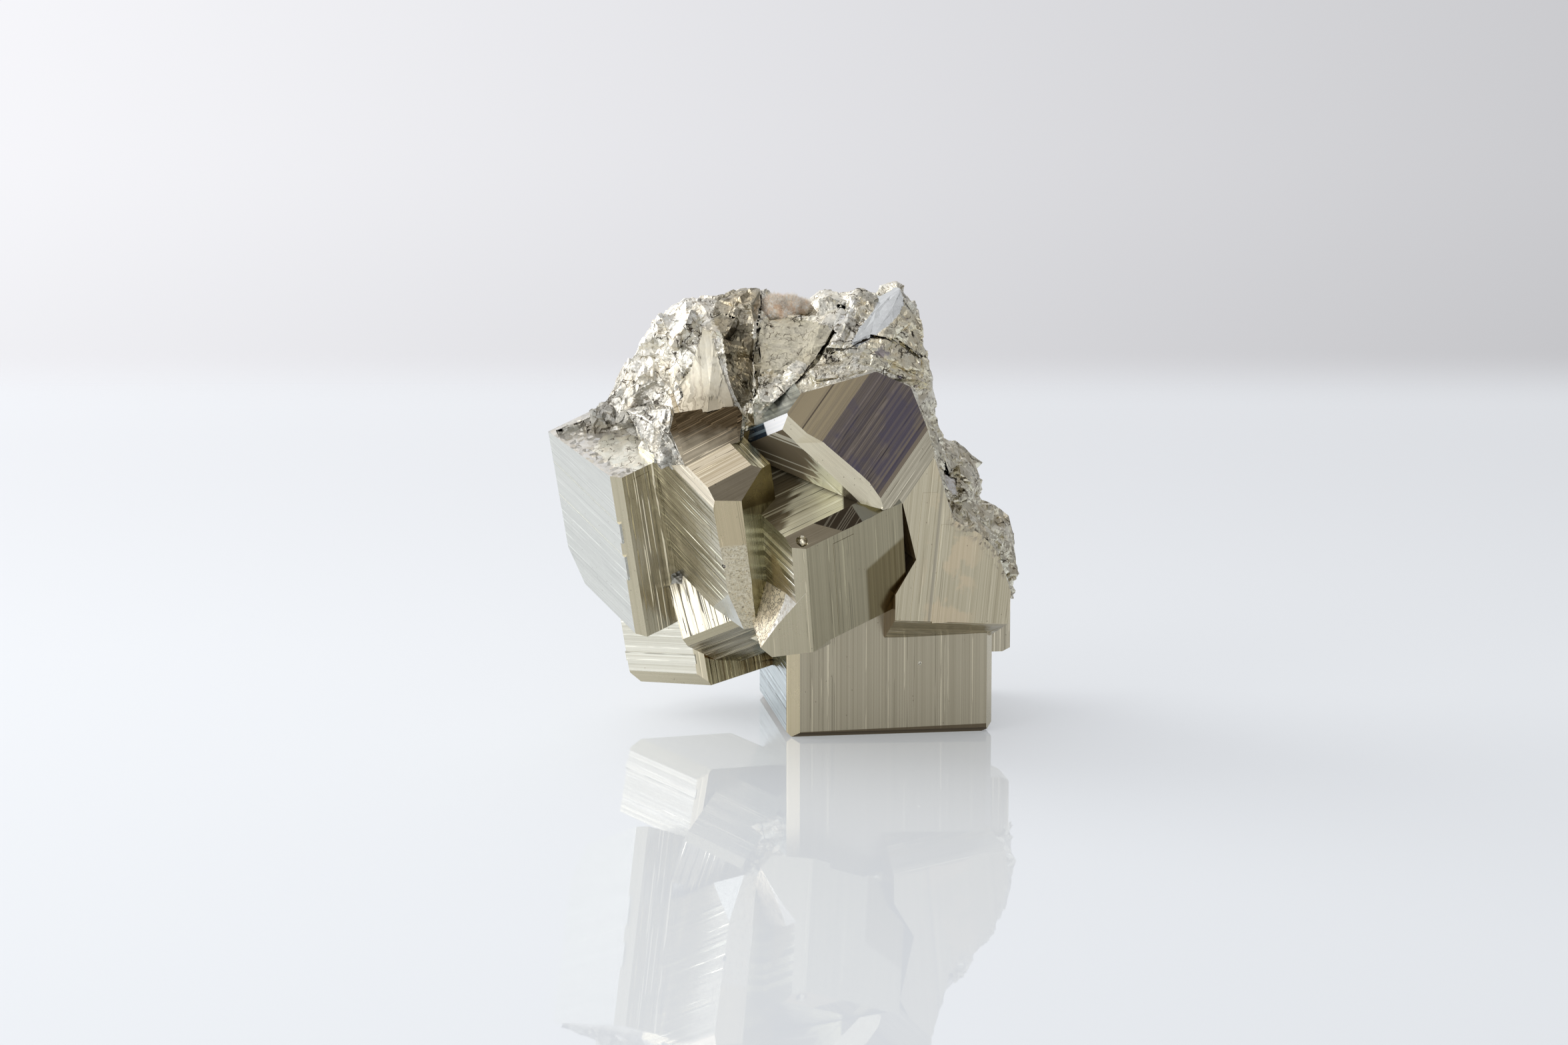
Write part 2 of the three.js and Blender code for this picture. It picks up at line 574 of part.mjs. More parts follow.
function mainLump() {
  const forward = (x, z) => {
    const across = THREE.MathUtils.smoothstep(x, ...LUMP_ACROSS);
    const up = THREE.MathUtils.smoothstep(z, ...LUMP_UPWARD);
    return THREE.MathUtils.lerp(LUMP_FLAT_LEFT, LUMP_FORWARD, across * up);
  };
  const shape = {
    centre: LUMP_CENTRE,
    rim: LUMP_RIM,
    rimY: LUMP_RIM_Y,
    forward,
    backward: LUMP_BACKWARD,
    round: LUMP_ROUND,
    rings: LUMP_RINGS,
    seed: LUMP_SEED,
  };
  const shows = (at) => at.z > CRYSTAL_TOPS && clearOfChunks(at);
  const front = ledges(shape, -1, FRONT_LEDGES, shows);
  const back = ledges(shape, 1, BACK_LEDGES, () => true);
  return joined([lumpCore(shape), ...front, ...back]);
}

function shoulderLump() {
  const shape = {
    centre: SHOULDER_CENTRE,
    rim: SHOULDER_RIM,
    rimY: SHOULDER_RIM_Y,
    forward: (x, z) => SHOULDER_FORWARD * THREE.MathUtils.smoothstep(z, ...SHOULDER_UPWARD),
    backward: SHOULDER_BACKWARD,
    round: SHOULDER_ROUND,
    rings: SHOULDER_RINGS,
    seed: SHOULDER_SEED,
  };
  const front = ledges(shape, -1, SHOULDER_FRONT_LEDGES, (at) => at.x > 20 && at.z > 20);
  const back = ledges(shape, 1, SHOULDER_BACK_LEDGES, (at) => at.x > SHOULDER_JOIN);
  return joined([lumpCore(shape), ...front, ...back]);
}

// A single broken piece with flat faces between its corners.
function chunk(corners) {
  return solidOf(new ConvexGeometry(corners.map((corner) => new THREE.Vector3(...corner))));
}

function ball([x, y, z], radius, detail) {
  return solidOf(new THREE.IcosahedronGeometry(radius, detail).translate(x, y, z));
}

// One stretch of a crack: a thin wedge, its edge CRACK_DEPTH under the surface.
function crackStretch(from, to) {
  const ends = [from, to].map((point) => new THREE.Vector3(...point));
  const along = ends[1].clone().sub(ends[0]);
  const side = new THREE.Vector3(along.z, 0, -along.x).normalize().multiplyScalar(CRACK_HALF_WIDTH);
  const corners = ends.flatMap((end) => {
    const mouth = end.clone().add(new THREE.Vector3(0, -CRACK_MOUTH, 0));
    return [
      end.clone().add(new THREE.Vector3(0, CRACK_DEPTH, 0)),
      mouth.clone().add(side),
      mouth.clone().sub(side),
    ];
  });
  return solidOf(new ConvexGeometry(corners));
}

function cracks() {
  return Object.values(CRACKS).flatMap((line) => (
    line.slice(1).map((to, i) => crackStretch(line[i], to))
  ));
}

// The tuft of pale crystals, spread by grow on every side.
function tuft(grow) {
  return joined(TUFT.map(({ at, radius }) => ball(at, radius + grow, 1)));
}

// The white crust, spread by grow from its middle.
function crust(grow) {
  const middle = new THREE.Vector3(...CRUST_MIDDLE);
  const corners = CRUST.map((corner) => {
    const point = new THREE.Vector3(...corner);
    const outward = point.clone().sub(middle).normalize();
    return point.addScaledVector(outward, grow * CRUST_GROWTH);
  });
  return solidOf(new ConvexGeometry(corners));
}

const crystals = joined([
  baseCrystal(),
  tallCrystal(),
  middleCrystal(),
  frontCrystal(),
  frontFoot(),
  upperCrystal(),
  rightCrystal(),
  lowerLeftCrystal(),
  smallCrystal(),
  rearCrystal(),
  ...Object.values(STEPS).map(({ place, low, high }) => block(place, low, high)),
]);
const broken = joined([mainLump(), shoulderLump(), ...Object.values(CHUNKS).map(chunk)]);
const hollows = joined([
  ...cracks(),
  ...Object.values(PITS).map(({ at, radius }) => ball(at, radius, 0)),
  tuft(GAP),
  crust(GAP),
]);
const pyrite = crystals.add(broken).subtract(hollows).add(ball(PIT_KNOB.at, PIT_KNOB.radius, 0));

const MATERIALS = {
  pyrite: new THREE.MeshStandardMaterial({ color: "#a39a85", roughness: 0.3, metalness: 1 }),
  tuft: new THREE.MeshStandardMaterial({ color: "#e6d6cd", roughness: 0.9, metalness: 0 }),
  crust: new THREE.MeshStandardMaterial({ color: "#e4e4e6", roughness: 0.85, metalness: 0 }),
};

const group = new THREE.Group();
const parts = [
  ["pyrite_cluster", pyrite, MATERIALS.pyrite],
  ["pale_tuft", tuft(0), MATERIALS.tuft],
  ["white_crust", crust(0), MATERIALS.crust],
];
for (const [name, solid, material] of parts) {
  const mesh = new THREE.Mesh(geometryOf(solid), material);
  mesh.name = name;
  group.add(mesh);
}

// The origin is brought to the bottom centre of the whole.
const whole = new THREE.Box3().setFromObject(group);
const centre = whole.getCenter(new THREE.Vector3());
for (const mesh of group.children) {
  mesh.geometry.translate(-centre.x, -centre.y, -whole.min.z);
}

export default group;
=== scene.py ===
import math
from collections import namedtuple
from functools import cached_property

import bpy
import numpy as np
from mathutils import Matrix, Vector
from mathutils.bvhtree import BVHTree


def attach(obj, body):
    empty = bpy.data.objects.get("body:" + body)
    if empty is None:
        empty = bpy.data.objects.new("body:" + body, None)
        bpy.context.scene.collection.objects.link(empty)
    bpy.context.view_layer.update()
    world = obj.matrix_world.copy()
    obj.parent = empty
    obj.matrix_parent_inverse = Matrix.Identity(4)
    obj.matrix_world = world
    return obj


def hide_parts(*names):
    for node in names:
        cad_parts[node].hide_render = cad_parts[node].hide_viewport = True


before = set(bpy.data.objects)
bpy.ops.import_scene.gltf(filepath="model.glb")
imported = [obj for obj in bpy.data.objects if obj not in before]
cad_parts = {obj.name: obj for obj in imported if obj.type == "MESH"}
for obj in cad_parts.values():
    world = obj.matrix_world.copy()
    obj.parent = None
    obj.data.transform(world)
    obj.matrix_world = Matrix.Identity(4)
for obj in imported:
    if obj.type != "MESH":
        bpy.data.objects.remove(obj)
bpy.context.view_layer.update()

# A pyrite specimen: striated cubes grown through each other on a broken lump, with a pale
# tuft and a white crust. Lengths are in millimetres until a mesh is made, in the frame of
# the base crystal's front left bottom corner, which is at ORIGIN in the model's frame.

MM = 0.001
ORIGIN = np.array([0.2557, -5.4063, 0.0])

# The view.
CAMERA_AT = (-0.0002443, -0.642877, 0.145202)
CAMERA_DOWN = 10.0          # degrees below level
LENS = 100.0
SENSOR = 36.0

# The crystals, each a block from low to high in its own frame: x to the right along its
# front, y away from the viewer, z up. place is its corner, then turn about z, lean and roll.
# A bevel is (face, set back on it, other face, set back on that); a cut is three points.
# A bowed facet has its least and most normal, and its top. A crystal's own "along" tells
# which way its striations run.
CRYSTALS = {
    "base": {
        "place": ((0, 0, 0), 8, 0, 0), "low": (0, 0, 0), "high": (31.5, 31, 21),
        "bevels": [
            ("left", 1.1, "front", 1.9), ("front", 1.2, "right", 2.4),
            ("front", 0.7, "bottom", 0.7), ("left", 0.7, "bottom", 0.7),
            ("right", 1, "bottom", 1.8),
        ],
    },
    "tall": {
        "place": ((-21.9, 4.1, 14.2), 36, 22, -22), "low": (0, 0, 0), "high": (12, 20.3, 44),
        "bevels": [("left", 1.8, "front", 1)],
        "cuts": [
            ((0, 0, 31.2), (8, 0, 31.2), (0, 20, 27.8)),
            ((0, 16.5, 0), (0, 20.3, 5), (9, 16.5, 0)),
        ],
    },
    "middle": {
        "place": ((-6.7, -10.8, 17.5), 36, 25, -25), "low": (0, 0, 0), "high": (11, 24, 27.6),
        "bevels": [
            ("left", 1.9, "front", 3.7), ("front", 1.8, "top", 3.7),
            ("left", 2.6, "top", 0.6), ("top", 3, "right", 1.5),
        ],
        "cuts": [
            ((3.7, 0, 25), (11, 3.7, 25), (2, 0, 0)),
            ((0, 7, 1.4), (0, 2.3, 7.1), (1.2, 0.9, 0.3)),
            ((0, 16.5, 24.3), (0.4, 9.5, 27.6), (5, 20.2, 27.6)),
        ],
    },
    "front": {
        "place": ((3.8, -11.9, 16.2), 37, 24, -21), "low": (-1.8, 0, 0), "high": (16.7, 24, 20.8),
        "bevels": [("left", 1, "front", 1.8), ("front", 1.3, "top", 2.7)],
    },
    "foot": {
        "place": ((3.8, -11.9, 16.2), 37, 24, -21), "low": (-9, 0, -0.8), "high": (3, 16, 11),
        "bevels": [("left", 4.5, "front", 9)],
        "cuts": [
            ((-1.8, 1, 9.9), (-6.8, 3.5, 1.5), (-1.8, 3.6, 9.2)),
            ((-1.8, 3.6, 9.2), (-1.8, 8.7, 9.4), (-7, 4.6, 2)),
            ((-7.5, 3.8, 2.3), (-5.5, 2.9, -0.7), (-3.5, 12, 3)),
        ],
    },
    "upper": {
        "place": ((14.3, -17.8, 37.5), 31, -19, 47), "low": (-20.8, 0, -0.4), "high": (2, 22, 21),
        "bevels": [("front", 3.9, "right", 2), ("left", 1.1, "bottom", 1.6)],
        "cuts": [((0.3, 0, -0.1), (2, 2, 4), (-0.3, 7.1, 7.5))],
        "bowed": ((-0.35, -1, -1), (0.35, -0.2, -0.2), 8),
    },
    "right": {
        "place": ((15.9, -7.2, 19), 23, 8, 2), "low": (-0.4, 0, -5), "high": (18.6, 20, 16),
        "cuts": [
            ((0, 0, 0.4), (18.4, 0, -1), (9, 4.5, -3.3)),
            ((0, 0, 0), (-0.4, 0, 4.4), (1.7, 5.9, -3.5)),
            ((-0.4, 0, 4.4), (2.4, 0, 9.7), (1.4, 6, 4.4)),
        ],
    },
    "rightTop": {
        "place": ((15.9, -7.2, 19), 23, 8, 2), "low": (-3, 0, 9.7), "high": (9, 20, 31),
        "cuts": [
            ((2.4, 0, 9.7), (-0.8, 0, 18.8), (2.4, 6, 9.7)),
            ((-0.8, 0, 18.8), (2.5, 0, 26.3), (-2, 4, 19)),
        ],
    },
    "lowerLeft": {
        "place": ((-12.4, 6.8, 6.3), -47, 6, -7), "low": (-18.1, 0, 0), "high": (0, 20, 12),
        "bevels": [
            ("front", 2, "bottom", 1.2), ("front", 1.45, "right", 0.8),
            ("left", 2.4, "bottom", 1.6), ("left", 1.2, "front", 0.7),
        ],
        "along": {"front": "x", "right": "z"},
    },
    "small": {
        "place": ((-15, -1.3, 15.6), -24, -22, -25), "low": (-0.7, 0, -0.8), "high": (9, 17, 12),
        "bevels": [("front", 0.8, "bottom", 1.5)],
    },
    "rear": {
        "place": ((28, 16, 9.8), 8, 0, 0), "low": (0, 0, 0), "high": (6.2, 8, 14),
        "bevels": [("right", 0.6, "bottom", 1.2)],
    },
}
SIDES = {
    "left": (-1, 0, 0), "right": (1, 0, 0), "front": (0, -1, 0),
    "back": (0, 1, 0), "bottom": (0, 0, -1), "top": (0, 0, 1),
}
AXES = {"x": (1, 0, 0), "y": (0, 1, 0), "z": (0, 0, 1)}
# The way the striations run on each side of a crystal, unless its own "along" differs.
ALONG = {"left": "y", "right": "y", "front": "z", "back": "z", "bottom": "x", "top": "x"}
STEP = 0.15                 # how far growth steps stand off a face
STEP_SUNK = 0.7             # how much of that is taken off, as the real ones are lower
NEAR = 0.03                 # a face this near a plane lies on it
MARGIN = 0.2                # and this near a crystal's box belongs to it
PARALLEL = 0.9998           # the least cosine between two directions that are the same
SQUARE = 0.01               # and the most between two that are square to each other
BOWED_EVEN = 0.7            # how evenly a bowed facet shines
STEEP = 0.7                 # a cut that faces its crystal's y less than this is steep
SIDE_NUMBERS = (11.0, 23.0, 41.0)   # these tell a crystal's sides apart

# The finish of each side that has one of its own; the others take DEFAULT_FINISH or,
# for bevels and cuts, SMOOTH_FINISH.
DEFAULT_FINISH = "striated"
SMOOTH_FINISH = "smooth"
FINISH = {
    "tall.left": "pale", "tall.front": "olive", "tall.cut0": "facet", "tall.cut1": "striated",
    "middle.left": "sage", "middle.bevel0": "sandy", "middle.top": "tan",
    "middle.bevel1": "taupe", "middle.bevel2": "ivory", "middle.bevel3": "gold",
    "middle.cut0": "crevice", "middle.cut1": "pale", "middle.cut2": "silver",
    "front.front": "shadowed", "front.bevel1": "smoky", "front.top": "lime", "front.left": "moss",
    "foot.cut0": "dendrite", "foot.cut1": "chalky",
    "upper.front": "tarnished", "upper.bevel0": "straw", "upper.bevel1": "glint",
    "upper.left": "steel", "upper.bottom": "pocket", "upper.bowed": "lens",
    "right.front": "patchy", "rightTop.front": "patchy",
    "right.cut0": "shaded", "right.cut1": "notch", "right.cut2": "notch",
    "rightTop.cut0": "notch",
    "lowerLeft.front": "cream", "lowerLeft.right": "brown",
    "small.front": "bright", "small.bottom": "shaded", "base.left": "blue",
    "base.front": "resting", "base.bevel0": "edge", "rear.front": "straw",
    # The base's bottom bevels take the underside look, a painted shadow along its foot.
    "base.bevel2": "underside", "base.bevel3": "underside", "base.bevel4": "underside",
}

# A broken ledge behind the middle crystal, striated like it: its box and the way it faces.
LEDGE = {
    "low": (-17.5, -19.5, 42.0), "high": (-6.0, -9.0, 52.4), "facing": (0.05, -0.75, 0.66),
    "crystal": "middle", "finish": "umber",
}
LEDGE_PARALLEL = 0.99

# The broken surface's finishes: how strongly its small facets stand out, the two colours, the
# share of warmer and of dark places, how far its shaded facets of three sizes lean, and the
# least and the most roughness.
Rock = namedtuple("Rock", "stands low high warm dark leans rough")
ROCK = {
    "broken": (1.0, (0.58, 0.525, 0.40), (1.0, 0.97, 0.82), 0.35, 0.7, (0.36, 0.30, 0.13), (0.22, 0.42)),
    # light and silver: lit copies of the broken finish, painted light where light falls on the top and
    # the left.
    "light": (1.0, (0.76, 0.71, 0.585), (1.0, 0.975, 0.86), 0.25, 0.6, (0.34, 0.30, 0.20), (0.24, 0.44)),
    "silver": (1.0, (0.36, 0.345, 0.29), (0.94, 0.91, 0.82), 0.25, 0.7, (0.34, 0.26, 0.20), (0.28, 0.48)),
    "golden": (0.8, (0.84, 0.74, 0.53), (1.0, 0.97, 0.80), 0.35, 0.5, (0.42, 0.34, 0.12), (0.18, 0.36)),
    "dim": (1.0, (0.26, 0.235, 0.17), (0.66, 0.605, 0.48), 0.3, 0.7, (0.34, 0.30, 0.20), (0.24, 0.44)),
    "hollow": (0.9, (0.10, 0.085, 0.055), (0.27, 0.24, 0.17), 0.3, 0.8, (0.34, 0.30, 0.20), (0.24, 0.44)),
    "flame": (0.3, (0.86, 0.79, 0.60), (0.94, 0.89, 0.73), 0.1, 0.0, (0.04, 0.10, 0.10), (0.36, 0.5)),
    "plate": (0.14, (0.70, 0.65, 0.485), (0.86, 0.80, 0.63), 0.2, 0.25, (0.07, 0.20, 0.22), (0.30, 0.42)),
    "blade": (0.1, (0.72, 0.74, 0.72), (0.93, 0.95, 0.94), 0.0, 0.0, (0.03, 0.06, 0.06), (0.18, 0.28)),
    "facet": (0.05, (0.95, 0.89, 0.74), (1.0, 1.0, 0.88), 0.1, 0.0, (0.10, 0.12, 0.10), (0.28, 0.38)),
}
# Painted light: the rock is painted lighter at its left and its top, where the light falls.
SILVER_LEFT = -7.0          # left of this it is brightest
LIGHT_ABOVE = 51.0          # and above this lighter
# Places of the broken surface's front with a finish of their own, each an outline in x and z.
OUTLINES = {
    "hollow": [
        (-9.9, 62.2), (-5.0, 63.4), (-5.0, 53.3), (-6.6, 51.4), (-7.8, 53.6), (-8.7, 56.3),
        (-9.4, 60.8)],
    "dim": [(-11.0, 64.0), (-9.9, 62.2), (-4.4, 63.6), (-4.2, 67.4), (-8.0, 67.4), (-10.6, 65.8)],
    "flame": [
        (-12.4, 62.6), (-11.0, 61.4), (-9.8, 57.7), (-8.4, 54.1), (-7.4, 51.4), (-16.8, 50.6),
        (-15.2, 53.1), (-15.8, 54.7), (-14.4, 56.6), (-13.3, 59.6)],
    "plate": [
        (-4.2, 63.3), (-2.7, 63.9), (5.9, 63.0), (6.6, 61.8), (5.3, 59.1), (3.2, 57.6),
        (1.4, 58.2), (-1.0, 56.6), (-2.6, 57.2), (-4.2, 56.4)],
    "golden": [
        (16.4, 66.1), (19.4, 63.5), (21.0, 60.3), (21.4, 52.0), (18.8, 54.0), (14.5, 57.0),
        (10.0, 57.8), (11.4, 59.9), (12.3, 61.5), (14.7, 64.2)],
    "silver": [
        (7.4, 64.9), (10.4, 66.2), (11.8, 64.4), (10.4, 62.6), (8.9, 60.9), (6.8, 60.6),
        (6.3, 61.6)],
    "blade": [
        (16.5, 67.6), (17.3, 65.6), (16.4, 64.2), (14.2, 62.5), (11.8, 61.0), (10.2, 60.1),
        (9.3, 60.6), (10.8, 62.8), (12.2, 64.4), (13.8, 66.1), (15.2, 67.3)],
}
FRONT_TO = 7.0              # how far back these reach
# The long fissures across its front, in x and z.
FISSURES = [
    [(-3.8, 67.2), (-4.0, 62.8), (-4.5, 60.5)],
    [(6.8, 62.0), (5.7, 60.2), (3.3, 57.6), (2.1, 56.1), (0.6, 54.6)],
    [(6.1, 60.0), (8.2, 59.6), (10.3, 60.5), (12.2, 61.3), (14.4, 61.2), (16.8, 60.1), (18.9, 58.8),
     (20.9, 56.8)],
]
FISSURE_HALF = 0.5          # half the width of their grooves
FISSURE_DEPTH = 0.3
FISSURE_REACH = 1.3         # how far from them they can still be seen
# The smooth grey facet on the tall crystal's broken top, in that crystal's x and y.
TOP_FACET = [(3, 11.3), (7.3, 13.3), (8.4, 7), (8.2, 1.9), (6.4, -1), (1.8, 0.7), (1.9, 6)]
TOP_FACET_HEIGHT = (29, 37)
FACING_UP = 0.6             # it faces the tall crystal's z by more than this

GRAIN_EDGE = 0.52           # longest edge of the broken surface's mesh
FLAT = {"plate": 0.75, "flame": 0.6, "blade": 0.8}     # how evenly these shine
BACK_FROM = 10.0            # behind this the mesh is coarser
BACK_COARSER = 1.8
HACKLE = ((5.5, 0.17, 0.30), (2.6, 0.12, 0.10), (1.2, 0.06, 0.02))   # cell size, tilt, step
HACKLE_SEED = 11
VALUE_SEED = 77             # added to a seed for the second set of numbers of a cell
HASH_OF_CELL = (73856093, 19349663, 83492791)
HASH_OF_SEED = 2654435761
HASH_OF_COLUMN = 40503
HASH_MIX = 0x45D9F3B
FREE_BESIDE = 0.45          # a point beside a held one moves by this share
NARROW = 2.5                # a groove or a wall thinner than this holds the facets back
ROOM_SHARE = 0.3            # they take up this share of it
OFF_SURFACE = 0.02          # a ray that looks for them starts this far off the surface
THIN_LIP = (7.7, -3.3, 63.9)    # a thin lip of the rock here is left as it is
THIN_LIP_REACH = (1.6, 3.0)
UNFOLDINGS = 24             # how often the facets are evened out where the surface would fold
FOLDED = 0.25               # the least cosine between a triangle's first and last directions
SLIVER = 0.005              # a triangle smaller than this is shaded like those around it


# Geometry of the crystals.

def turned(turn, lean, roll):
    """The rotation of a crystal: about z, then x, then y of its own."""
    t, l, r = np.radians([turn, lean, roll])
    about_z = np.array([[np.cos(t), -np.sin(t), 0], [np.sin(t), np.cos(t), 0], [0, 0, 1]])
    about_x = np.array([[1, 0, 0], [0, np.cos(l), -np.sin(l)], [0, np.sin(l), np.cos(l)]])
    about_y = np.array([[np.cos(r), 0, np.sin(r)], [0, 1, 0], [-np.sin(r), 0, np.cos(r)]])
    return about_z @ about_x @ about_y


def own_frame(name):
    """A crystal's rotation, and the corner that its own frame starts from."""
    corner, *angles = CRYSTALS[name]["place"]
    return turned(*angles), np.array(corner, float)


def unit(v):
    v = np.array(v, float)
    return v / np.linalg.norm(v)


def units(vectors):
    """Every row made 1 long."""
    return vectors / np.maximum(np.linalg.norm(vectors, axis=1, keepdims=True), 1e-12)


def side_planes(low, high):
    """Name to (outward normal, distance) of a block's six sides."""
    normals = {name: np.array(normal, float) for name, normal in SIDES.items()}
    return {name: (n, float(n @ np.where(n > 0, high, low))) for name, n in normals.items()}


def bevel_plane(sides, bevel):
    """The plane of a bevel, and the direction of the edge that it takes off."""
    a, set_a, b, set_b = bevel
    normal = sides[a][0] / set_b + sides[b][0] / set_a
    distance = sides[a][1] / set_b + sides[b][1] / set_a - 1
    length = np.linalg.norm(normal)
    return normal / length, distance / length, unit(np.cross(sides[a][0], sides[b][0]))


def cut_plane(points, middle):
    """The plane through three points that faces away from the crystal's middle, and a
    direction in it."""
    p, q, r = (np.array(point, float) for point in points)
    normal = unit(np.cross(q - p, r - p))
    if normal @ middle > normal @ p:
        normal = -normal
    across = AXES["y"] if abs(normal[1]) < STEEP else AXES["x"]
    return normal, float(normal @ p), unit(np.cross(normal, across))


def crystal_planes(crystal):
    """Name to (normal, distance, direction of the striations) of every plane of a crystal."""
    low, high = np.array(crystal["low"], float), np.array(crystal["high"], float)
    sides = side_planes(low, high)
    ways = {**ALONG, **crystal.get("along", {})}
    planes = {name: (*sides[name], np.array(AXES[ways[name]], float)) for name in sides}
    for i, bevel in enumerate(crystal.get("bevels", [])):
        planes[f"bevel{i}"] = bevel_plane(sides, bevel)
    for i, points in enumerate(crystal.get("cuts", [])):
        planes[f"cut{i}"] = cut_plane(points, (low + high) / 2)
    return planes


class Faces:
    """Triangles in millimetres, with the finish, striation frame and place of each."""

    OF_EACH = ("finish", "rotation", "corner", "along", "shading")

    def __init__(self, points, triangles):
        self.points = points
        self.triangles = triangles
        count = len(triangles)
        self.finish = np.full(count, "", dtype=object)
        self.rotation = np.tile(np.eye(3), (count, 1, 1))
        self.corner = np.zeros((count, 3))
        self.along = np.tile([0.0, 0.0, 1.0], (count, 1))
        self.shading = np.zeros((count, 3))     # the direction it is shaded by, or none

    def crosses(self):
        """For each triangle, a vector square to it, as long as twice its area."""
        a, b, c = (self.points[self.triangles[:, k]] for k in range(3))
        return np.cross(b - a, c - a)

    def normals(self):
        return units(self.crosses())

    def centres(self):
        return self.points[self.triangles].mean(axis=1)

    def summed(self, values):
        """For each point, the sum of the values of the triangles around it."""
        total = np.zeros_like(self.points)
        for k in range(3):
            np.add.at(total, self.triangles[:, k], values)
        return total

    def give(self, chosen, finish, rotation, corner, along):
        """Gives a look to the chosen ones that have none yet, and returns which these are."""
        chosen = chosen & (self.finish == "")
        self.finish[chosen] = finish
        self.rotation[chosen] = rotation
        self.corner[chosen] = corner
        self.along[chosen] = rotation @ along
        return chosen


def joined_faces(parts):
    points, triangles, offset = [], [], 0
    for part in parts:
        points.append(part.points)
        triangles.append(part.triangles + offset)
        offset += len(part.points)
    whole = Faces(np.vstack(points), np.vstack(triangles))
    for name in Faces.OF_EACH:
        setattr(whole, name, np.concatenate([getattr(part, name) for part in parts]))
    return whole


def part_of(faces, chosen):
    part = Faces(faces.points, faces.triangles[chosen])
    for name in Faces.OF_EACH:
        setattr(part, name, getattr(faces, name)[chosen])
    return part


def node_faces(name):
    """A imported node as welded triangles, in the crystals' frame."""
    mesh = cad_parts[name].data
    mesh.calc_loop_triangles()
    points = np.array([vertex.co for vertex in mesh.vertices], float) / MM - ORIGIN
    triangles = np.array([triangle.vertices for triangle in mesh.loop_triangles])
    _, first, same = np.unique(np.round(points, 4), axis=0, return_index=True, return_inverse=True)
    triangles = same.reshape(-1)[triangles]
    whole = (triangles != np.roll(triangles, 1, axis=1)).all(axis=1)
    return Faces(points[first], triangles[whole])


def inside_outline(x, y, outline):
    """Whether each point (x, y) is inside a closed outline."""
    inside = np.zeros(len(x), bool)
    for (ax, ay), (bx, by) in zip(outline, outline[1:] + outline[:1]):
        crosses = (ay > y) != (by > y)
        height = np.where(by == ay, 1.0, by - ay)
        inside ^= crosses & (x < ax + (bx - ax) * (y - ay) / height)
    return inside


def recognise_crystal(faces, name, sunk):
    """Gives the triangles on a crystal's planes their finish, and notes how far the points of
    its growth steps sink; returns what may be walls of these steps, each with its look."""
    crystal = CRYSTALS[name]
    rotation, corner = own_frame(name)
    normals, centres = faces.normals() @ rotation, (faces.centres() - corner) @ rotation
    low, high = np.array(crystal["low"]) - MARGIN, np.array(crystal["high"]) + MARGIN
    inside = np.all((centres > low) & (centres < high), axis=1)
    is_wall = inside & (np.sort(np.abs(normals))[:, 1] < SQUARE)
    walls = []
    for plane, (normal, distance, along) in crystal_planes(crystal).items():
        default = DEFAULT_FINISH if plane in SIDES else SMOOTH_FINISH
        look = (FINISH.get(f"{name}.{plane}", default), rotation, corner, along)
        height = centres @ normal - distance
        on = (normals @ normal > PARALLEL) & (height > -NEAR) & (height < STEP + NEAR)
        on = faces.give(on & inside, *look)
        raised = on & (height > STEP / 2)
        if raised.any():
            lift = height[raised].mean()
            sunk[np.unique(faces.triangles[raised])] = -STEP_SUNK * lift * (rotation @ normal)
        walls.append((is_wall & (np.abs(height) < STEP + NEAR), look))
    if "bowed" in crystal:
        least, most, top = crystal["bowed"]
        on = inside & (centres[:, 2] < top)
        on &= np.all((normals > least) & (normals < most), axis=1)
        on = faces.give(on, FINISH[f"{name}.bowed"], rotation, corner, AXES["x"])
        facing = faces.normals()[on]
        middle = unit(facing.mean(axis=0))
        faces.shading[on] = BOWED_EVEN * middle + (1 - BOWED_EVEN) * facing
    return walls


def recognise(faces):
    """Gives every triangle that lies on a crystal that crystal's finish; the rest is broken.
    The growth steps are lowered, and their walls look like the face that they stand on."""
    sunk = np.zeros_like(faces.points)
    walls = []
    for name in CRYSTALS:
        walls += recognise_crystal(faces, name, sunk)
    centres = faces.centres()
    ledge = faces.normals() @ unit(LEDGE["facing"]) > LEDGE_PARALLEL
    ledge &= np.all((centres > LEDGE["low"]) & (centres < LEDGE["high"]), axis=1)
    faces.give(ledge, LEDGE["finish"], *own_frame(LEDGE["crystal"]), AXES["x"])
    for wall, look in walls:
        faces.give(wall, *look)
    faces.give(np.ones(len(centres), bool), "broken", np.eye(3), np.zeros(3), AXES["z"])
    faces.points = faces.points + sunk


def broken_finish(points, upward):
    """The finish of the broken surface at each point; upward is the tall crystal's facing there."""
    finish = np.where(points[:, 2] > LIGHT_ABOVE, "light", "broken").astype(object)
    finish[points[:, 0] < SILVER_LEFT] = "silver"
    for name, outline in OUTLINES.items():
        inside = inside_outline(points[:, 0], points[:, 2], outline)
        finish[inside & (points[:, 1] < FRONT_TO)] = name
    rotation, corner = own_frame("tall")
    x, y, z = ((points - corner) @ rotation).T
    low, high = TOP_FACET_HEIGHT
    finish[inside_outline(x, y, TOP_FACET) & (z > low) & (z < high) & upward] = "facet"
    return finish


# The broken surface's small facets.

def edges_of(triangles):
    """The two points of every edge, the first edges of all triangles before the second ones."""
    edges = np.concatenate([triangles[:, [0, 1]], triangles[:, [1, 2]], triangles[:, [2, 0]]])
    return np.sort(edges, axis=1)


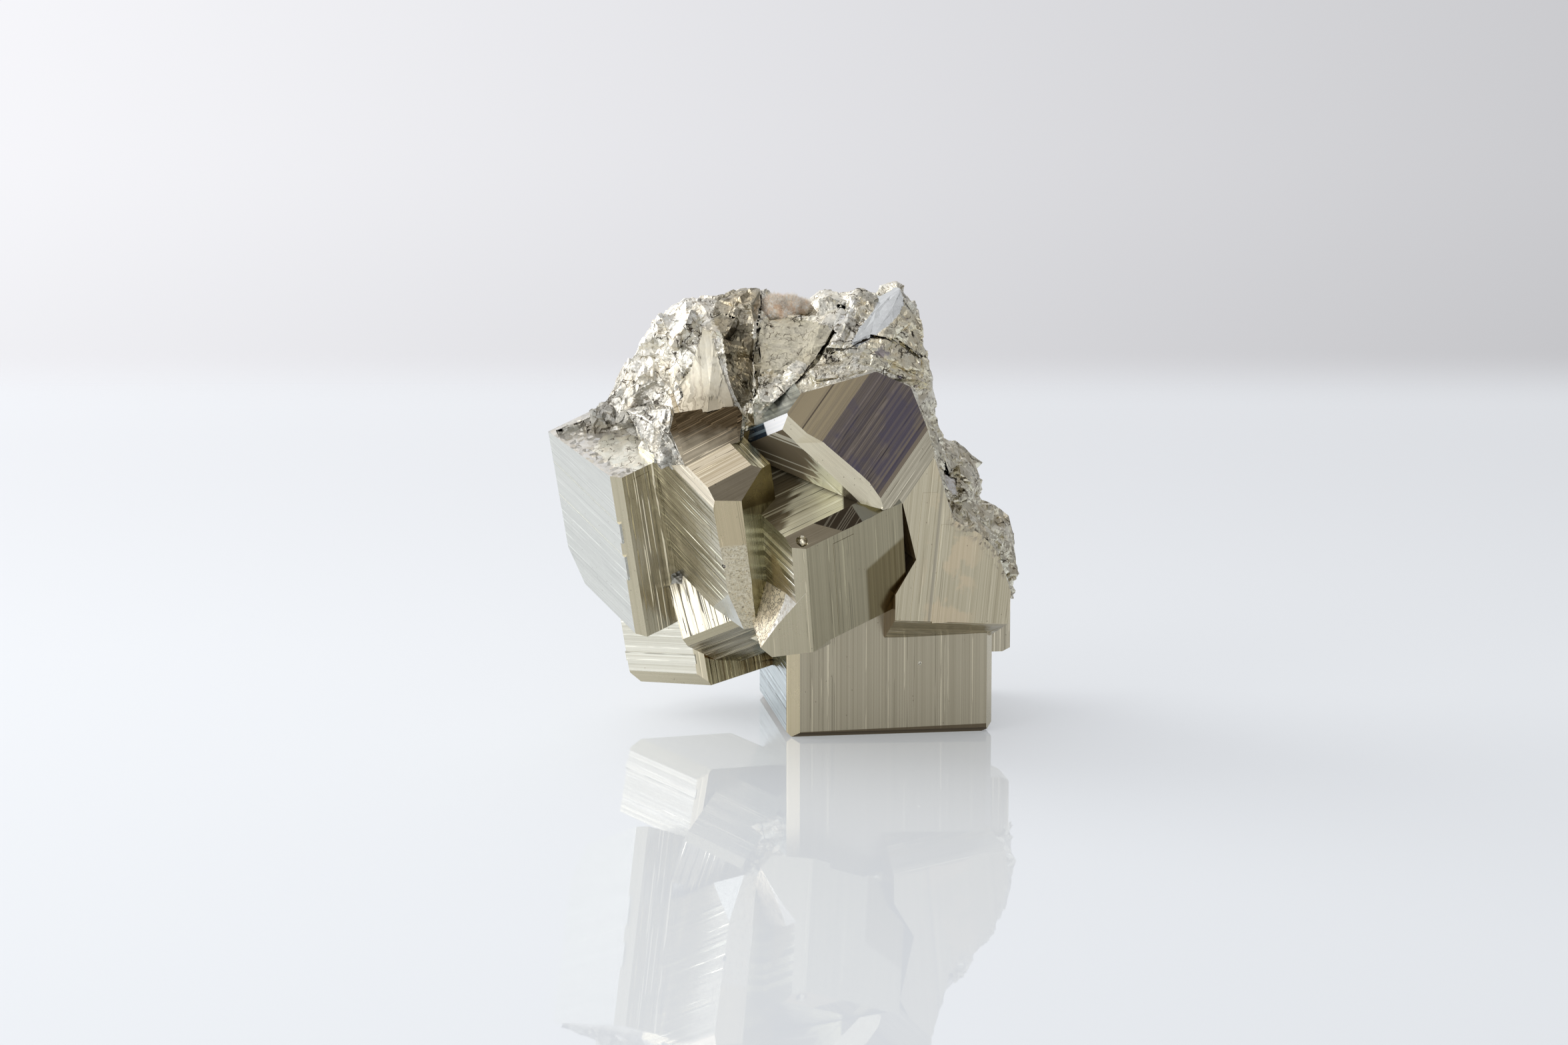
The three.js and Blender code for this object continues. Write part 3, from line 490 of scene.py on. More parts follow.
def split_long(points, triangles, longest, back_coarser=1.0):
    """Halves every edge over longest until none is left; at the back, over longer ones."""
    while True:
        unique, where = np.unique(edges_of(triangles), axis=0, return_inverse=True)
        middles = points[unique].mean(axis=1)
        length = np.linalg.norm(points[unique[:, 0]] - points[unique[:, 1]], axis=1)
        long = length > longest * np.where(middles[:, 1] > BACK_FROM, back_coarser, 1.0)
        if not long.any():
            return points, triangles
        middle = np.full(len(unique), -1)
        middle[long] = len(points) + np.arange(long.sum())
        points = np.vstack([points, middles[long]])
        triangles = split_triangles(triangles, middle[where.reshape(-1)].reshape(3, -1).T)


def split_triangles(triangles, mids):
    """Splits each triangle at the middles (or -1) of its edges."""
    kept = [triangles[(mids < 0).all(axis=1)]]
    for turn in range(3):
        a, b, c = np.roll(triangles, -turn, axis=1).T
        ab, bc, ca = np.roll(mids, -turn, axis=1).T
        one = (ab >= 0) & (bc < 0) & (ca < 0)
        kept += [np.stack(corners, 1)[one] for corners in ((a, ab, c), (ab, b, c))]
        two = (ab >= 0) & (bc >= 0) & (ca < 0)
        kept += [np.stack(corners, 1)[two] for corners in ((ab, b, bc), (a, ab, bc), (a, bc, c))]
    a, b, c = triangles.T
    ab, bc, ca = mids.T
    three = (mids >= 0).all(axis=1)
    quarters = ((a, ab, ca), (ab, b, bc), (ca, bc, c), (ab, bc, ca))
    kept += [np.stack(corners, 1)[three] for corners in quarters]
    return np.vstack(kept)


def cell_random(cell, seed):
    """Three numbers of 0 to 1 for each whole-numbered cell."""
    key = cell @ np.array(HASH_OF_CELL) + seed * HASH_OF_SEED
    columns = []
    for k in range(3):
        h = (key + k * HASH_OF_COLUMN) & 0xFFFFFFFF
        for _ in range(2):
            h = ((h ^ (h >> 16)) * HASH_MIX) & 0xFFFFFFFF
        columns.append(((h ^ (h >> 16)) & 0xFFFFFF) / 0xFFFFFF)
    return np.stack(columns, 1)


def cell_noise(points, size, seed):
    """For each point: the middle of its cell, and three numbers of -1 to 1 of that cell."""
    home = np.floor(points / size).astype(np.int64)
    best = np.full(len(points), np.inf)
    middle = np.zeros_like(points)
    value = np.zeros_like(points)
    for offset in np.ndindex(3, 3, 3):
        cell = home + np.array(offset) - 1
        at = (cell + cell_random(cell, seed)) * size
        distance = ((points - at) ** 2).sum(axis=1)
        nearer = distance < best
        best[nearer] = distance[nearer]
        middle[nearer] = at[nearer]
        value[nearer] = cell_random(cell[nearer], seed + VALUE_SEED) * 2 - 1
    return middle, value


def fissure_place(points):
    """For each point: how far it is to one side or the other of the nearest fissure, and how
    near it is, from 1 on it to 0 at FISSURE_REACH."""
    place = np.full(len(points), FISSURE_REACH)
    for line in FISSURES:
        for start, end in zip(line, line[1:]):
            way = np.subtract(end, start)
            away = points[:, [0, 2]] - start
            share = np.clip(away @ way / (way @ way), 0, 1)
            distance = np.linalg.norm(away - share[:, None] * way, axis=1)
            side = np.where(way[0] * away[:, 1] > way[1] * away[:, 0], 1, -1)
            place = np.where(distance < np.abs(place), side * distance, place)
    nearness = 1 - np.abs(place) / FISSURE_REACH
    return place, np.where(points[:, 1] < FRONT_TO, nearness, 0)


def freedom(triangles, count, held):
    """How far each point may move: not at all where held or on the outer edge, less beside it."""
    unique, uses = np.unique(edges_of(triangles), axis=0, return_counts=True)
    free = np.ones(count)
    free[held] = 0
    free[unique[uses == 1].reshape(-1)] = 0
    beside = np.ones(count)
    for a, b in ((0, 1), (1, 0)):
        beside[unique[free[unique[:, a]] == 0][:, b]] = FREE_BESIDE
    return free * beside


def room(faces, ways):
    """How far each point can go its way before it meets the surface again."""
    tree = BVHTree.FromPolygons(faces.points.tolist(), faces.triangles.tolist())
    starts = faces.points + OFF_SURFACE * ways
    rays = zip(starts.tolist(), ways.tolist())
    found = [tree.ray_cast(start, way, NARROW)[3] for start, way in rays]
    return np.array([np.inf if distance is None else distance for distance in found])


def facet_heights(points, upward):
    """How far the small facets stand out at each point, and the fissures sink in."""
    height = np.zeros(len(points))
    for i, (size, tilt, step) in enumerate(HACKLE):
        middle, value = cell_noise(points, size, HACKLE_SEED + i)
        height += tilt * ((points - middle) * value).sum(axis=1) + step * value[:, 0]
    stands = {name: Rock(*row).stands for name, row in ROCK.items()}
    height *= np.array([stands[name] for name in broken_finish(points, upward)])
    side, near = fissure_place(points)
    groove = np.clip(1 - np.abs(side) / FISSURE_HALF, 0, 1)
    return height - FISSURE_DEPTH * np.where(near > 0, groove, 0)


def even_out(moved, triangles, folded, free):
    """Moves each free corner of the folded triangles as far as those around it, on average."""
    corners = np.unique(triangles[folded])
    corners = corners[free[corners]]
    near = triangles[np.isin(triangles, corners).any(axis=1)]
    total, count = np.zeros_like(moved), np.zeros(len(moved))
    for a, b in ((0, 1), (1, 2), (2, 0), (1, 0), (2, 1), (0, 2)):
        np.add.at(total, near[:, a], moved[near[:, b]])
        np.add.at(count, near[:, a], 1)
    moved[corners] = total[corners] / count[corners][:, None]


def move(faces, moved, free):
    """Moves the points, and evens these moves out wherever the surface would fold over."""
    flat_points, flat_normals = faces.points, faces.normals()
    for _ in range(UNFOLDINGS):
        faces.points = flat_points + moved
        folded = (faces.normals() * flat_normals).sum(axis=1) < FOLDED
        even_out(moved, faces.triangles, folded, free)


def hackled(faces):
    """The broken triangles, made fine and given small tilted facets; their outer edge stays."""
    chosen = faces.finish == "broken"
    kept, renumbered = np.unique(faces.triangles[chosen], return_inverse=True)
    held = np.flatnonzero(np.isin(kept, faces.triangles[~chosen]))
    renumbered = renumbered.reshape(-1, 3)
    out = Faces(*split_long(faces.points[kept], renumbered, GRAIN_EDGE, BACK_COARSER))
    up = own_frame("tall")[0][:, 2]
    flat_normals = out.normals()
    out.finish = broken_finish(out.centres(), flat_normals @ up > FACING_UP)
    facing = units(out.summed(flat_normals))
    free = freedom(out.triangles, len(out.points), held)
    height = facet_heights(out.points, facing @ up > FACING_UP) * free
    gap, wall = (room(out, way) for way in (facing, -facing))
    height = np.clip(height, -ROOM_SHARE * wall, ROOM_SHARE * gap)
    from_lip = np.linalg.norm(out.points - np.array(THIN_LIP), axis=1)
    height *= np.interp(from_lip, THIN_LIP_REACH, (0, 1))
    move(out, facing * height[:, None], free > 0)
    for name, share in FLAT.items():
        on = out.finish == name
        middle = unit(flat_normals[on].mean(axis=0))
        out.shading[on] = share * middle + (1 - share) * out.normals()[on]
    shade_slivers(out)
    return out


def shade_slivers(faces):
    """Shades each sliver by the way that the larger triangles around it face."""
    crosses = faces.crosses()
    small = np.linalg.norm(crosses, axis=1) / 2 < SLIVER
    around = faces.summed(crosses)[faces.triangles[small]]
    faces.shading[small] = units(around.sum(axis=1))


# Objects.

def placed(name, data, at=(0, 0, 0)):
    """A new object in the scene."""
    obj = bpy.data.objects.new(name, data)
    bpy.context.scene.collection.objects.link(obj)
    obj.location = at
    return obj


def mesh_object(name, faces):
    mesh = bpy.data.meshes.new(name)
    mesh.from_pydata(((faces.points + ORIGIN) * MM).tolist(), [], faces.triangles.tolist())
    return placed(name, mesh)


def give_grain(obj, faces):
    """Stores on each face the directions across and along its striations and the one it is
    shaded by, at each of its corners the place across and along them in millimetres and a
    number that differs from side to side, and at each point its place by the fissures."""
    normals = faces.normals()
    along = units(faces.along - normals * (faces.along * normals).sum(axis=1)[:, None])
    across = np.cross(along, normals)
    corners = faces.points[faces.triangles] - faces.corner[:, None, :]
    own_normal = np.einsum("nij,ni->nj", faces.rotation, normals)
    place = np.zeros((len(faces.triangles), 3, 3))
    place[:, :, 0] = (corners * across[:, None, :]).sum(axis=2)
    place[:, :, 1] = (corners * along[:, None, :]).sum(axis=2)
    place[:, :, 2] = (np.abs(own_normal) @ np.array(SIDE_NUMBERS))[:, None]
    plain = np.linalg.norm(faces.shading, axis=1) < 0.5
    shading = np.where(plain[:, None], normals, faces.shading)
    fissures = np.stack([*fissure_place(faces.points), np.zeros(len(faces.points))], axis=1)
    stored = {
        "across": (across, "FACE"), "along": (along, "FACE"), "shading": (shading, "FACE"),
        "grain": (place, "CORNER"), "fissure": (fissures, "POINT"),
    }
    for name, (values, domain) in stored.items():
        attribute = obj.data.attributes.new(name, "FLOAT_VECTOR", domain)
        attribute.data.foreach_set("vector", values.astype(np.float32).reshape(-1))


# Materials.

class Value:
    """An output of a node. Operators between such values, or with numbers, add math nodes."""

    def __init__(self, sh, socket):
        self.sh = sh
        self.socket = socket
        self.is_vector = socket.type != "VALUE"

    def __add__(self, other):
        return self.sh.math("ADD", self, other)

    def __sub__(self, other):
        return self.sh.math("SUBTRACT", self, other)

    def __rsub__(self, other):
        return self.sh.math("SUBTRACT", other, self)

    def __mul__(self, other):
        return self.sh.scaled(self, other) if self.is_vector else self.sh.math("MULTIPLY", self, other)

    def __truediv__(self, other):
        return self.sh.math("DIVIDE", self, other)

    def __lt__(self, other):
        return self.sh.math("LESS_THAN", self, other)

    def __gt__(self, other):
        return self.sh.math("GREATER_THAN", self, other)

    def __abs__(self):
        return self.sh.math("ABSOLUTE", self)

    def smooth(self, start, end, low=0.0, high=1.0):
        """Goes from low at start to high at end, and is even beyond them."""
        inputs = dict(enumerate((self, start, end, low, high)))
        return self.sh.out("MapRange", inputs, interpolation_type="SMOOTHSTEP")


class Shader:
    """The nodes of a material, or of the world, added one at a time."""

    def __init__(self, name=None, world=None):
        self.material = world or bpy.data.materials.new(name)
        self.material.use_nodes = True
        self.tree = self.material.node_tree
        self.tree.nodes.clear()
        kind = "OutputWorld" if world else "OutputMaterial"
        self.output = self.node(kind)

    def node(self, kind, inputs=None, **settings):
        node = self.tree.nodes.new("ShaderNode" + kind)
        for key, value in settings.items():
            setattr(node, key, value)
        for key, value in (inputs or {}).items():
            if isinstance(value, Value):
                self.tree.links.new(value.socket, node.inputs[key])
            else:
                node.inputs[key].default_value = value
        return node

    def out(self, kind, inputs=None, output=0, **settings):
        """An output of a new node."""
        return Value(self, self.node(kind, inputs, **settings).outputs[output])

    def math(self, operation, *values):
        """A math node, for vectors if one of the values is a vector."""
        of_vectors = any(isinstance(value, Value) and value.is_vector for value in values)
        kind = "VectorMath" if of_vectors else "Math"
        return self.out(kind, dict(enumerate(values)), operation=operation)

    def scaled(self, vector, by):
        return self.out("VectorMath", {0: vector, "Scale": by}, operation="SCALE")

    def attribute(self, name):
        return self.out("Attribute", output="Vector", attribute_name=name)

    def split(self, vector):
        node = self.node("SeparateXYZ", {0: vector})
        return [Value(self, output) for output in node.outputs]

    @cached_property
    def place(self):
        """The position in millimetres in the model's frame."""
        return self.out("TexCoord", output="Object") * (1 / MM)

    def noise(self, scale, detail=3.0, roughness=0.55, vector=None, output="Fac"):
        inputs = {
            "Vector": vector or self.place, "Scale": scale, "Detail": detail, "Roughness": roughness,
        }
        return self.out("TexNoise", inputs, output)

    def mix(self, share, a, b):
        return self.out("Mix", {0: share, 6: colour(a), 7: colour(b)}, 2, data_type="RGBA")

    def finish(self, node):
        self.tree.links.new(node.outputs[0], self.output.inputs["Surface"])
        return self.material


def colour(value):
    """A colour with its alpha, or the value as it is."""
    return value if isinstance(value, Value) else (*value[:3], 1.0)


class Surface(Shader):
    """A material of the pyrite. The functions below change its base colour, its roughness and
    the direction that it is shaded by; across and along are places on a striated face."""

    def __init__(self, name):
        super().__init__(f"pyrite_{name}")
        self.name = name
        self.normal = self.attribute("shading")

    def tint(self, share, tone):
        self.base = self.mix(share, self.base, tone)

    def at(self, axis, crystal=None):
        """The place along an axis of the model's frame, or of a crystal's own."""
        index = "xyz".index(axis)
        if crystal is None:
            return self.split(self.place)[index]
        rotation, corner = own_frame(crystal)
        way = rotation[:, index]
        inputs = {0: self.place, 1: tuple(way)}
        along = self.out("VectorMath", inputs, "Value", operation="DOT_PRODUCT")
        return along - float((corner + ORIGIN) @ way)

    def bands(self, scale, across=None):
        """Random bands of uneven width: three numbers of 0 to 1 for each band."""
        inputs = {"W": across or self.across, "Scale": scale}
        return self.split(self.out("TexVoronoi", inputs, "Color", voronoi_dimensions="1D"))

    def cells(self, scale):
        """Random cells: the distance from the middle of each, and three numbers of 0 to 1."""
        node = self.node("TexVoronoi", {"Vector": self.place, "Scale": scale})
        return [Value(self, node.outputs[name]) for name in ("Distance", "Color")]

    def grains(self, scale, tilt, share=1.0):
        """A grainy surface where share is 1."""
        self.normal = self.normal + (self.cells(scale)[1] - HALF) * (share * tilt)

    def complete(self, inputs):
        if self.name in OVERLAYS:
            OVERLAYS[self.name](self)
        last = fissured if self.name in ROCK else specks
        last(self)
        return self.finish(self.node("BsdfPrincipled", {
            "Base Color": self.base, "Roughness": self.roughness,
            "Normal": self.math("NORMALIZE", self.normal),
            "Metallic": METALLIC.get(self.name, 1.0), **inputs,
        }))


HALF = (0.5, 0.5, 0.5)
# How metallic each finish is that is not wholly so.
METALLIC = {
    "pocket": 0.45, "lime": 0.35, "glint": 0.0, "chalky": 0.0, "dendrite": 0.4, "notch": 0.5,
    "silver": 0.75, "light": 0.75, "flame": 0.1, "facet": 0.75, "golden": 0.8,
}
# The finishes of the crystals' faces: the light and dark ends of the colour, the roughness, how
# far broad bands, fine bands and sharp lines tilt the surface, the share of sharp lines, and how
# these change the two ends of the colour.
Look = namedtuple("Look", "light dark rough broad fine line share light_line dark_line")
# Most of these are the one pyrite's colour made lighter, darker or bluer face by face for the light,
# shade and reflections that each face shows: painted light and shade, besides the tarnish and stains of
# the functions below.
LOOKS = {
    "striated": ((0.48, 0.432, 0.32), (0.385, 0.343, 0.248), 0.24, 0.004, 0.016, 0.12, 0.05, 1.25, 0.85),
    # shadowed: the striated colours made darker, painted shade on the front crystal's face.
    "shadowed": ((0.455, 0.41, 0.285), (0.37, 0.33, 0.226), 0.24, 0.004, 0.018, 0.12, 0.05, 1.2, 0.85),
    "patchy": ((0.67, 0.60, 0.44), (0.53, 0.465, 0.325), 0.24, 0.004, 0.014, 0.1, 0.05, 1.12, 0.88),
    "pale": ((0.70, 0.70, 0.65), (0.62, 0.62, 0.575), 0.24, 0.008, 0.03, 0.1, 0.07, 1.15, 0.93),
    "cream": ((0.66, 0.64, 0.56), (0.46, 0.44, 0.365), 0.24, 0.008, 0.03, 0.15, 0.08, 1.35, 0.85),
    "straw": ((0.60, 0.545, 0.42), (0.42, 0.375, 0.275), 0.24, 0.008, 0.03, 0.15, 0.08, 1.35, 0.85),
    "ivory": ((0.74, 0.67, 0.54), (0.58, 0.51, 0.39), 0.3, 0.008, 0.03, 0.2, 0.1, 1.25, 0.7),
    "taupe": ((0.57, 0.49, 0.35), (0.47, 0.395, 0.27), 0.24, 0.008, 0.03, 0.1, 0.03, 1.25, 0.72),
    "smoky": ((0.73, 0.63, 0.44), (0.62, 0.52, 0.35), 0.24, 0.008, 0.03, 0.1, 0.03, 1.25, 0.72),
    "crevice": ((0.56, 0.53, 0.35), (0.33, 0.30, 0.17), 0.26, 0.008, 0.03, 0.2, 0.06, 1.25, 0.5),
    "pocket": ((0.96, 0.95, 0.76), (0.84, 0.82, 0.62), 0.24, 0.01, 0.03, 0.2, 0.07, 1.25, 0.6),
    "lime": ((1.0, 0.97, 0.74), (0.74, 0.69, 0.48), 0.2, 0.02, 0.04, 0.3, 0.16, 1.0, 0.4),
    "olive": ((0.59, 0.53, 0.39), (0.35, 0.305, 0.21), 0.2, 0.025, 0.06, 0.35, 0.14, 1.5, 0.72),
    "sage": ((0.70, 0.655, 0.52), (0.41, 0.38, 0.285), 0.2, 0.025, 0.06, 0.35, 0.14, 1.5, 0.72),
    "moss": ((0.90, 0.87, 0.79), (0.47, 0.445, 0.385), 0.2, 0.04, 0.05, 0.3, 0.2, 1.15, 0.35),
    "brown": ((0.62, 0.475, 0.275), (0.26, 0.18, 0.09), 0.22, 0.04, 0.08, 0.4, 0.16, 1.4, 0.6),
    "umber": ((0.25, 0.18, 0.10), (0.075, 0.05, 0.022), 0.24, 0.03, 0.06, 0.3, 0.12, 1.25, 0.6),
    "tan": ((0.82, 0.72, 0.53), (0.55, 0.455, 0.30), 0.22, 0.02, 0.05, 0.3, 0.12, 1.25, 0.5),
    "gold": ((0.66, 0.61, 0.42), (0.30, 0.26, 0.155), 0.2, 0.05, 0.09, 0.4, 0.16, 1.3, 0.45),
    "steel": ((0.62, 0.66, 0.64), (0.26, 0.29, 0.29), 0.25, 0.03, 0.06, 0.3, 0.14, 1.25, 0.5),
    "blue": ((0.50, 0.585, 0.60), (0.31, 0.38, 0.395), 0.2, 0.03, 0.06, 0.3, 0.14, 1.25, 0.45),
    "bright": ((0.60, 0.575, 0.48), (0.36, 0.335, 0.26), 0.22, 0.008, 0.07, 0.45, 0.18, 1.35, 0.45),
    "shaded": ((0.55, 0.49, 0.36), (0.32, 0.275, 0.19), 0.24, 0.04, 0.09, 0.4, 0.16, 1.6, 0.72),
    # tarnished: real violet tarnish, its colours also made darker as a painted reflection of the dim
    # room.
    "tarnished": ((0.37, 0.315, 0.28), (0.20, 0.172, 0.18), 0.2, 0.02, 0.03, 0.15, 0.12, 1.3, 0.7),
    "smooth": ((0.60, 0.54, 0.395), (0.54, 0.485, 0.345), 0.28, 0.003, 0.006, 0.03, 0.015, 1.25, 0.85),
    "edge": ((0.48, 0.42, 0.29), (0.43, 0.375, 0.25), 0.28, 0.003, 0.006, 0.03, 0.015, 1.25, 0.85),
    "lens": ((0.80, 0.73, 0.56), (0.72, 0.65, 0.49), 0.24, 0.003, 0.006, 0.03, 0.015, 1.25, 0.85),
    "sandy": ((0.63, 0.53, 0.355), (0.56, 0.475, 0.31), 0.28, 0.003, 0.01, 0.03, 0.02, 1.25, 0.85),
    # glint: plain white and not metallic, a painted reflection of a bright window.
    "glint": ((1.0, 1.0, 1.0), (0.90, 0.92, 0.94), 0.24, 0.008, 0.03, 0.05, 0.05, 1.25, 0.72),
    "chalky": ((0.90, 0.88, 0.82), (0.74, 0.71, 0.63), 0.45, 0.008, 0.03, 0.2, 0.03, 1.25, 0.72),
    "dendrite": ((0.96, 0.86, 0.66), (0.80, 0.70, 0.51), 0.3, 0.008, 0.03, 0.2, 0.02, 1.25, 0.72),
    # underside: dark brown, a painted shadow along the base's bottom edge.
    "underside": ((0.17, 0.13, 0.08), (0.10, 0.075, 0.045), 0.4, 0.008, 0.03, 0.15, 0.05, 1.25, 0.72),
    "notch": ((0.32, 0.21, 0.09), (0.14, 0.085, 0.03), 0.4, 0.008, 0.03, 0.2, 0.06, 1.25, 0.72),
}
LOOKS["resting"] = LOOKS["striated"]
WIDER_BANDS = {"steel": 0.45, "glint": 0.5}     # the others take 1
# The bands' four sizes, broad, middle, fine and hair: how many to a millimetre, and how far a
# side's number shifts them.
BANDS = ((0.55, 1.0), (2.4, 1.3), (6.5, 1.7), (12.0, 2.1))
TILTS = (1.2, 1.0, 0.8)         # how strongly all but the broad ones lean
SHADES = (0.10, 0.10, 0.36, 0.44)   # how strongly each size shades the colour
LINE_RUN = (3.0, 0.12)          # how quickly sharp lines come and go, across and along
LINES_COME = (0.44, 0.52)       # the noise that they come at
SHADE_ENDS = (0.25, 1.0)        # the shades that are all dark and all light
SWAY = 0.03                     # how far a whole face waves
SWAY_SCALE = 0.12
SMUDGE_SCALE = 0.35
SMUDGED = (0.25, 0.16)          # how far smudges change the shade and the roughness
ANISOTROPY = 0.3


def shaded_bands(sh, look):
    """The striations: their mix of dark and light, their two kinds of sharp line, their tilt."""
    at = sh.across * WIDER_BANDS.get(sh.name, 1.0)
    broad, middle, fine, hair = (sh.bands(scale, at + sh.face * shift) for scale, shift in BANDS)
    run = {0: sh.across * LINE_RUN[0], 1: sh.along * LINE_RUN[1], 2: sh.face}
    comes = sh.noise(1.0, 2.0, vector=sh.out("CombineXYZ", run)).smooth(*LINES_COME)
    dark_line = (fine[0] < look.share) * comes
    light_line = (fine[0] > 1 - look.share) * comes
    tilt = (broad[0] - 0.5) * (2 * look.broad)
    for size, weight in zip((middle, fine, hair), TILTS):
        tilt = tilt + (size[1] - 0.5) * (weight * look.fine)
    tilt = tilt + (fine[2] - 0.5) * (2 * look.line) * (dark_line + light_line)
    shade = broad[1] * SHADES[0]
    for value, weight in zip((middle[0], fine[1], hair[0]), SHADES[1:]):
        shade = shade + value * weight
    return shade, dark_line, light_line, tilt


def striated(name):
    look = Look(*LOOKS[name])
    sh = Surface(name)
    sh.across, sh.along, sh.face = sh.split(sh.attribute("grain"))
    shade, dark_line, light_line, tilt = shaded_bands(sh, look)
    sway = (sh.noise(SWAY_SCALE, 2.0, output="Color") - HALF) * SWAY
    sh.normal = sh.normal + sh.attribute("across") * tilt + sway
    smudge = sh.noise(SMUDGE_SCALE, 4.0)
    shade = shade + smudge * SMUDGED[0]
    sh.base = sh.mix(shade.smooth(*SHADE_ENDS), look.dark, look.light)
    sh.tint(dark_line, [c * look.dark_line for c in look.dark])
    sh.tint(light_line, [min(1.0, c * look.light_line) for c in look.light])
    sh.roughness = smudge * SMUDGED[1] + (look.rough - SMUDGED[1] / 2)
    return sh.complete({"Tangent": sh.attribute("along"), "Anisotropic": ANISOTROPY})


def specks(sh):
    """Scattered dark specks, a tenth of a millimetre or two across."""
    distance, random = sh.cells(1.3)
    sh.tint((distance < 0.12) * (sh.split(random)[0] > 0.86) * 0.7, SPECKS)


# Colours of single places. Of a pair, the first is that of the low end of what mixes them.
SPECKS = (0.20, 0.16, 0.11)
VIOLET = (0.205, 0.182, 0.25)
TAN_END = (0.84, 0.70, 0.44)
DARK_GROOVE = (0.25, 0.20, 0.15)
BROWN_LINES = (0.48, 0.40, 0.30)
BLUE_END = ((0.012, 0.022, 0.035), (0.12, 0.16, 0.18))
# Painted shade: the brown, bright-lined left part of the upper crystal's underside.
PAINTED_SHADE_LINED = ((0.30, 0.245, 0.16), (0.95, 0.90, 0.72))
# Painted shadow: the upper crystal's shadow on the right ends of the front crystal's top and of the
# pocket, by the notch.
PAINTED_SHADOW_BY_NOTCH = (0.10, 0.08, 0.05)
LEDGE_FOOT = (0.90, 0.78, 0.56)
SAND = ((0.56, 0.49, 0.34), (0.88, 0.82, 0.66))
DARK_SAND = (0.34, 0.28, 0.19)
YELLOW = (0.80, 0.63, 0.42)
GREY_GROOVE = (0.40, 0.36, 0.28)
PITS = (0.42, 0.37, 0.29)
# Painted reflection: the next crystal's dark side, mirrored in the front crystal's face.
PAINTED_REFLECTION_BROWN = ((0.13, 0.095, 0.035), (0.30, 0.245, 0.12))
DULL_CHALK = (0.62, 0.56, 0.46)
# Painted shade: the far left corner of the front crystal's top.
PAINTED_SHADE_CORNER = ((0.13, 0.095, 0.045), (0.66, 0.60, 0.42))
# Painted shadow at the front crystal's bevel's right end, and a painted reflection at its tip.
PAINTED_SHADOW_BEVEL = ((0.13, 0.10, 0.065), (0.42, 0.37, 0.27))
PAINTED_REFLECTION_TIP = (0.58, 0.56, 0.43)
DARK_GREEN = (0.19, 0.145, 0.055)
# Painted shadow along the base crystal's foot.
PAINTED_SHADOW_FOOT = (0.12, 0.09, 0.055)
GREEN_STREAKS = (0.27, 0.25, 0.185)
WHITE_LINES = (1.0, 0.98, 0.90)
SMOOTH_TAN = ((0.75, 0.67, 0.54), (0.61, 0.54, 0.45))
BRANCHES = (0.10, 0.075, 0.045)
FILM_BLOTS = (0.58, 0.48, 0.34)
WHITE_EDGE = ((1.0, 0.98, 0.92), (0.70, 0.65, 0.54))
VIOLET_STAIN = (0.25, 0.21, 0.30)
WARM_ROCK = (0.60, 0.48, 0.28)
DARK_ROCK = (0.13, 0.10, 0.06)
FISSURE = (0.030, 0.022, 0.014)
FACET_RIM = ((0.52, 0.48, 0.39), (1.0, 0.98, 0.92))
# Painted shade: the flame's foot, and the gaps between its ribs.
PAINTED_SHADE_FLAME_FOOT = (0.48, 0.405, 0.275)
PAINTED_SHADE_FLAME_GAPS = ((0.46, 0.40, 0.30), (0.26, 0.205, 0.13))
FLAME_LEAN = (-0.4, 0.0, 0.2)   # the flame's ribs lean this way


# Single places of the faces. The numbers are places in millimetres, noise, bands and cells to
# the millimetre, and shares of 0 to 1.

def tarnish(sh):
    """The upper crystal's face: tan at its left, then brown lines, then purplish grey."""
    sh.tint(sh.noise(0.16).smooth(0.44, 0.56) * 0.7, VIOLET)
    sh.tint((sh.across + sh.bands(1.6)[1] * 2.2).smooth(-12.9, -13.9) * 0.92, TAN_END)
    sh.tint(abs(sh.across + 17.6).smooth(0.16, 0.05), DARK_GROOVE)
    lines = sh.bands(3.1)[0].smooth(0.45, 0.6)
    sh.tint(sh.across.smooth(-5.0, -2.0, 0.3, 1.0) * lines, BROWN_LINES)


def blue_end(sh):
    """A bevel painted white, a painted reflection of a bright window; its far end dark blue with pale
    lines.
    """
    sh.tint(sh.along.smooth(-6.8, -7.2), sh.mix(sh.bands(3.0)[0] > 0.72, *BLUE_END))


def pocket_painted_shade(sh):
    """The upper crystal's underside: pale; brown with bright lines at the left, painted shade; and dark
    at the right end, a painted shadow."""
    lines = sh.bands(2.2, sh.across + sh.along)[0] > 0.8
    left = (sh.at("x") + sh.bands(2.0)[2] * 2.0).smooth(5.6, 4.2)
    sh.tint(left, sh.mix(lines, *PAINTED_SHADE_LINED))
    sh.tint(sh.at("x").smooth(8.0, 8.4), PAINTED_SHADOW_BY_NOTCH)


def ledge_fade(sh):
    """The ledge: dark at its top, tan at its foot."""
    sh.tint((sh.at("z") + sh.noise(0.4, 2.0) * 3.0).smooth(51.2, 47.2), LEDGE_FOOT)


def sand(sh):
    """The middle crystal's bevel: smooth above, rough and sandy below."""
    below = (sh.along + sh.noise(0.5, 2.0) * 1.2).smooth(17.9, 17.3)
    sandy = sh.mix(sh.split(sh.cells(4.5)[1])[0], *SAND)
    sh.tint(below, sh.mix(sh.noise(3.2).smooth(0.60, 0.66), sandy, DARK_SAND))
    sh.roughness = sh.roughness + below * 0.2
    sh.grains(4.5, 0.9, below)


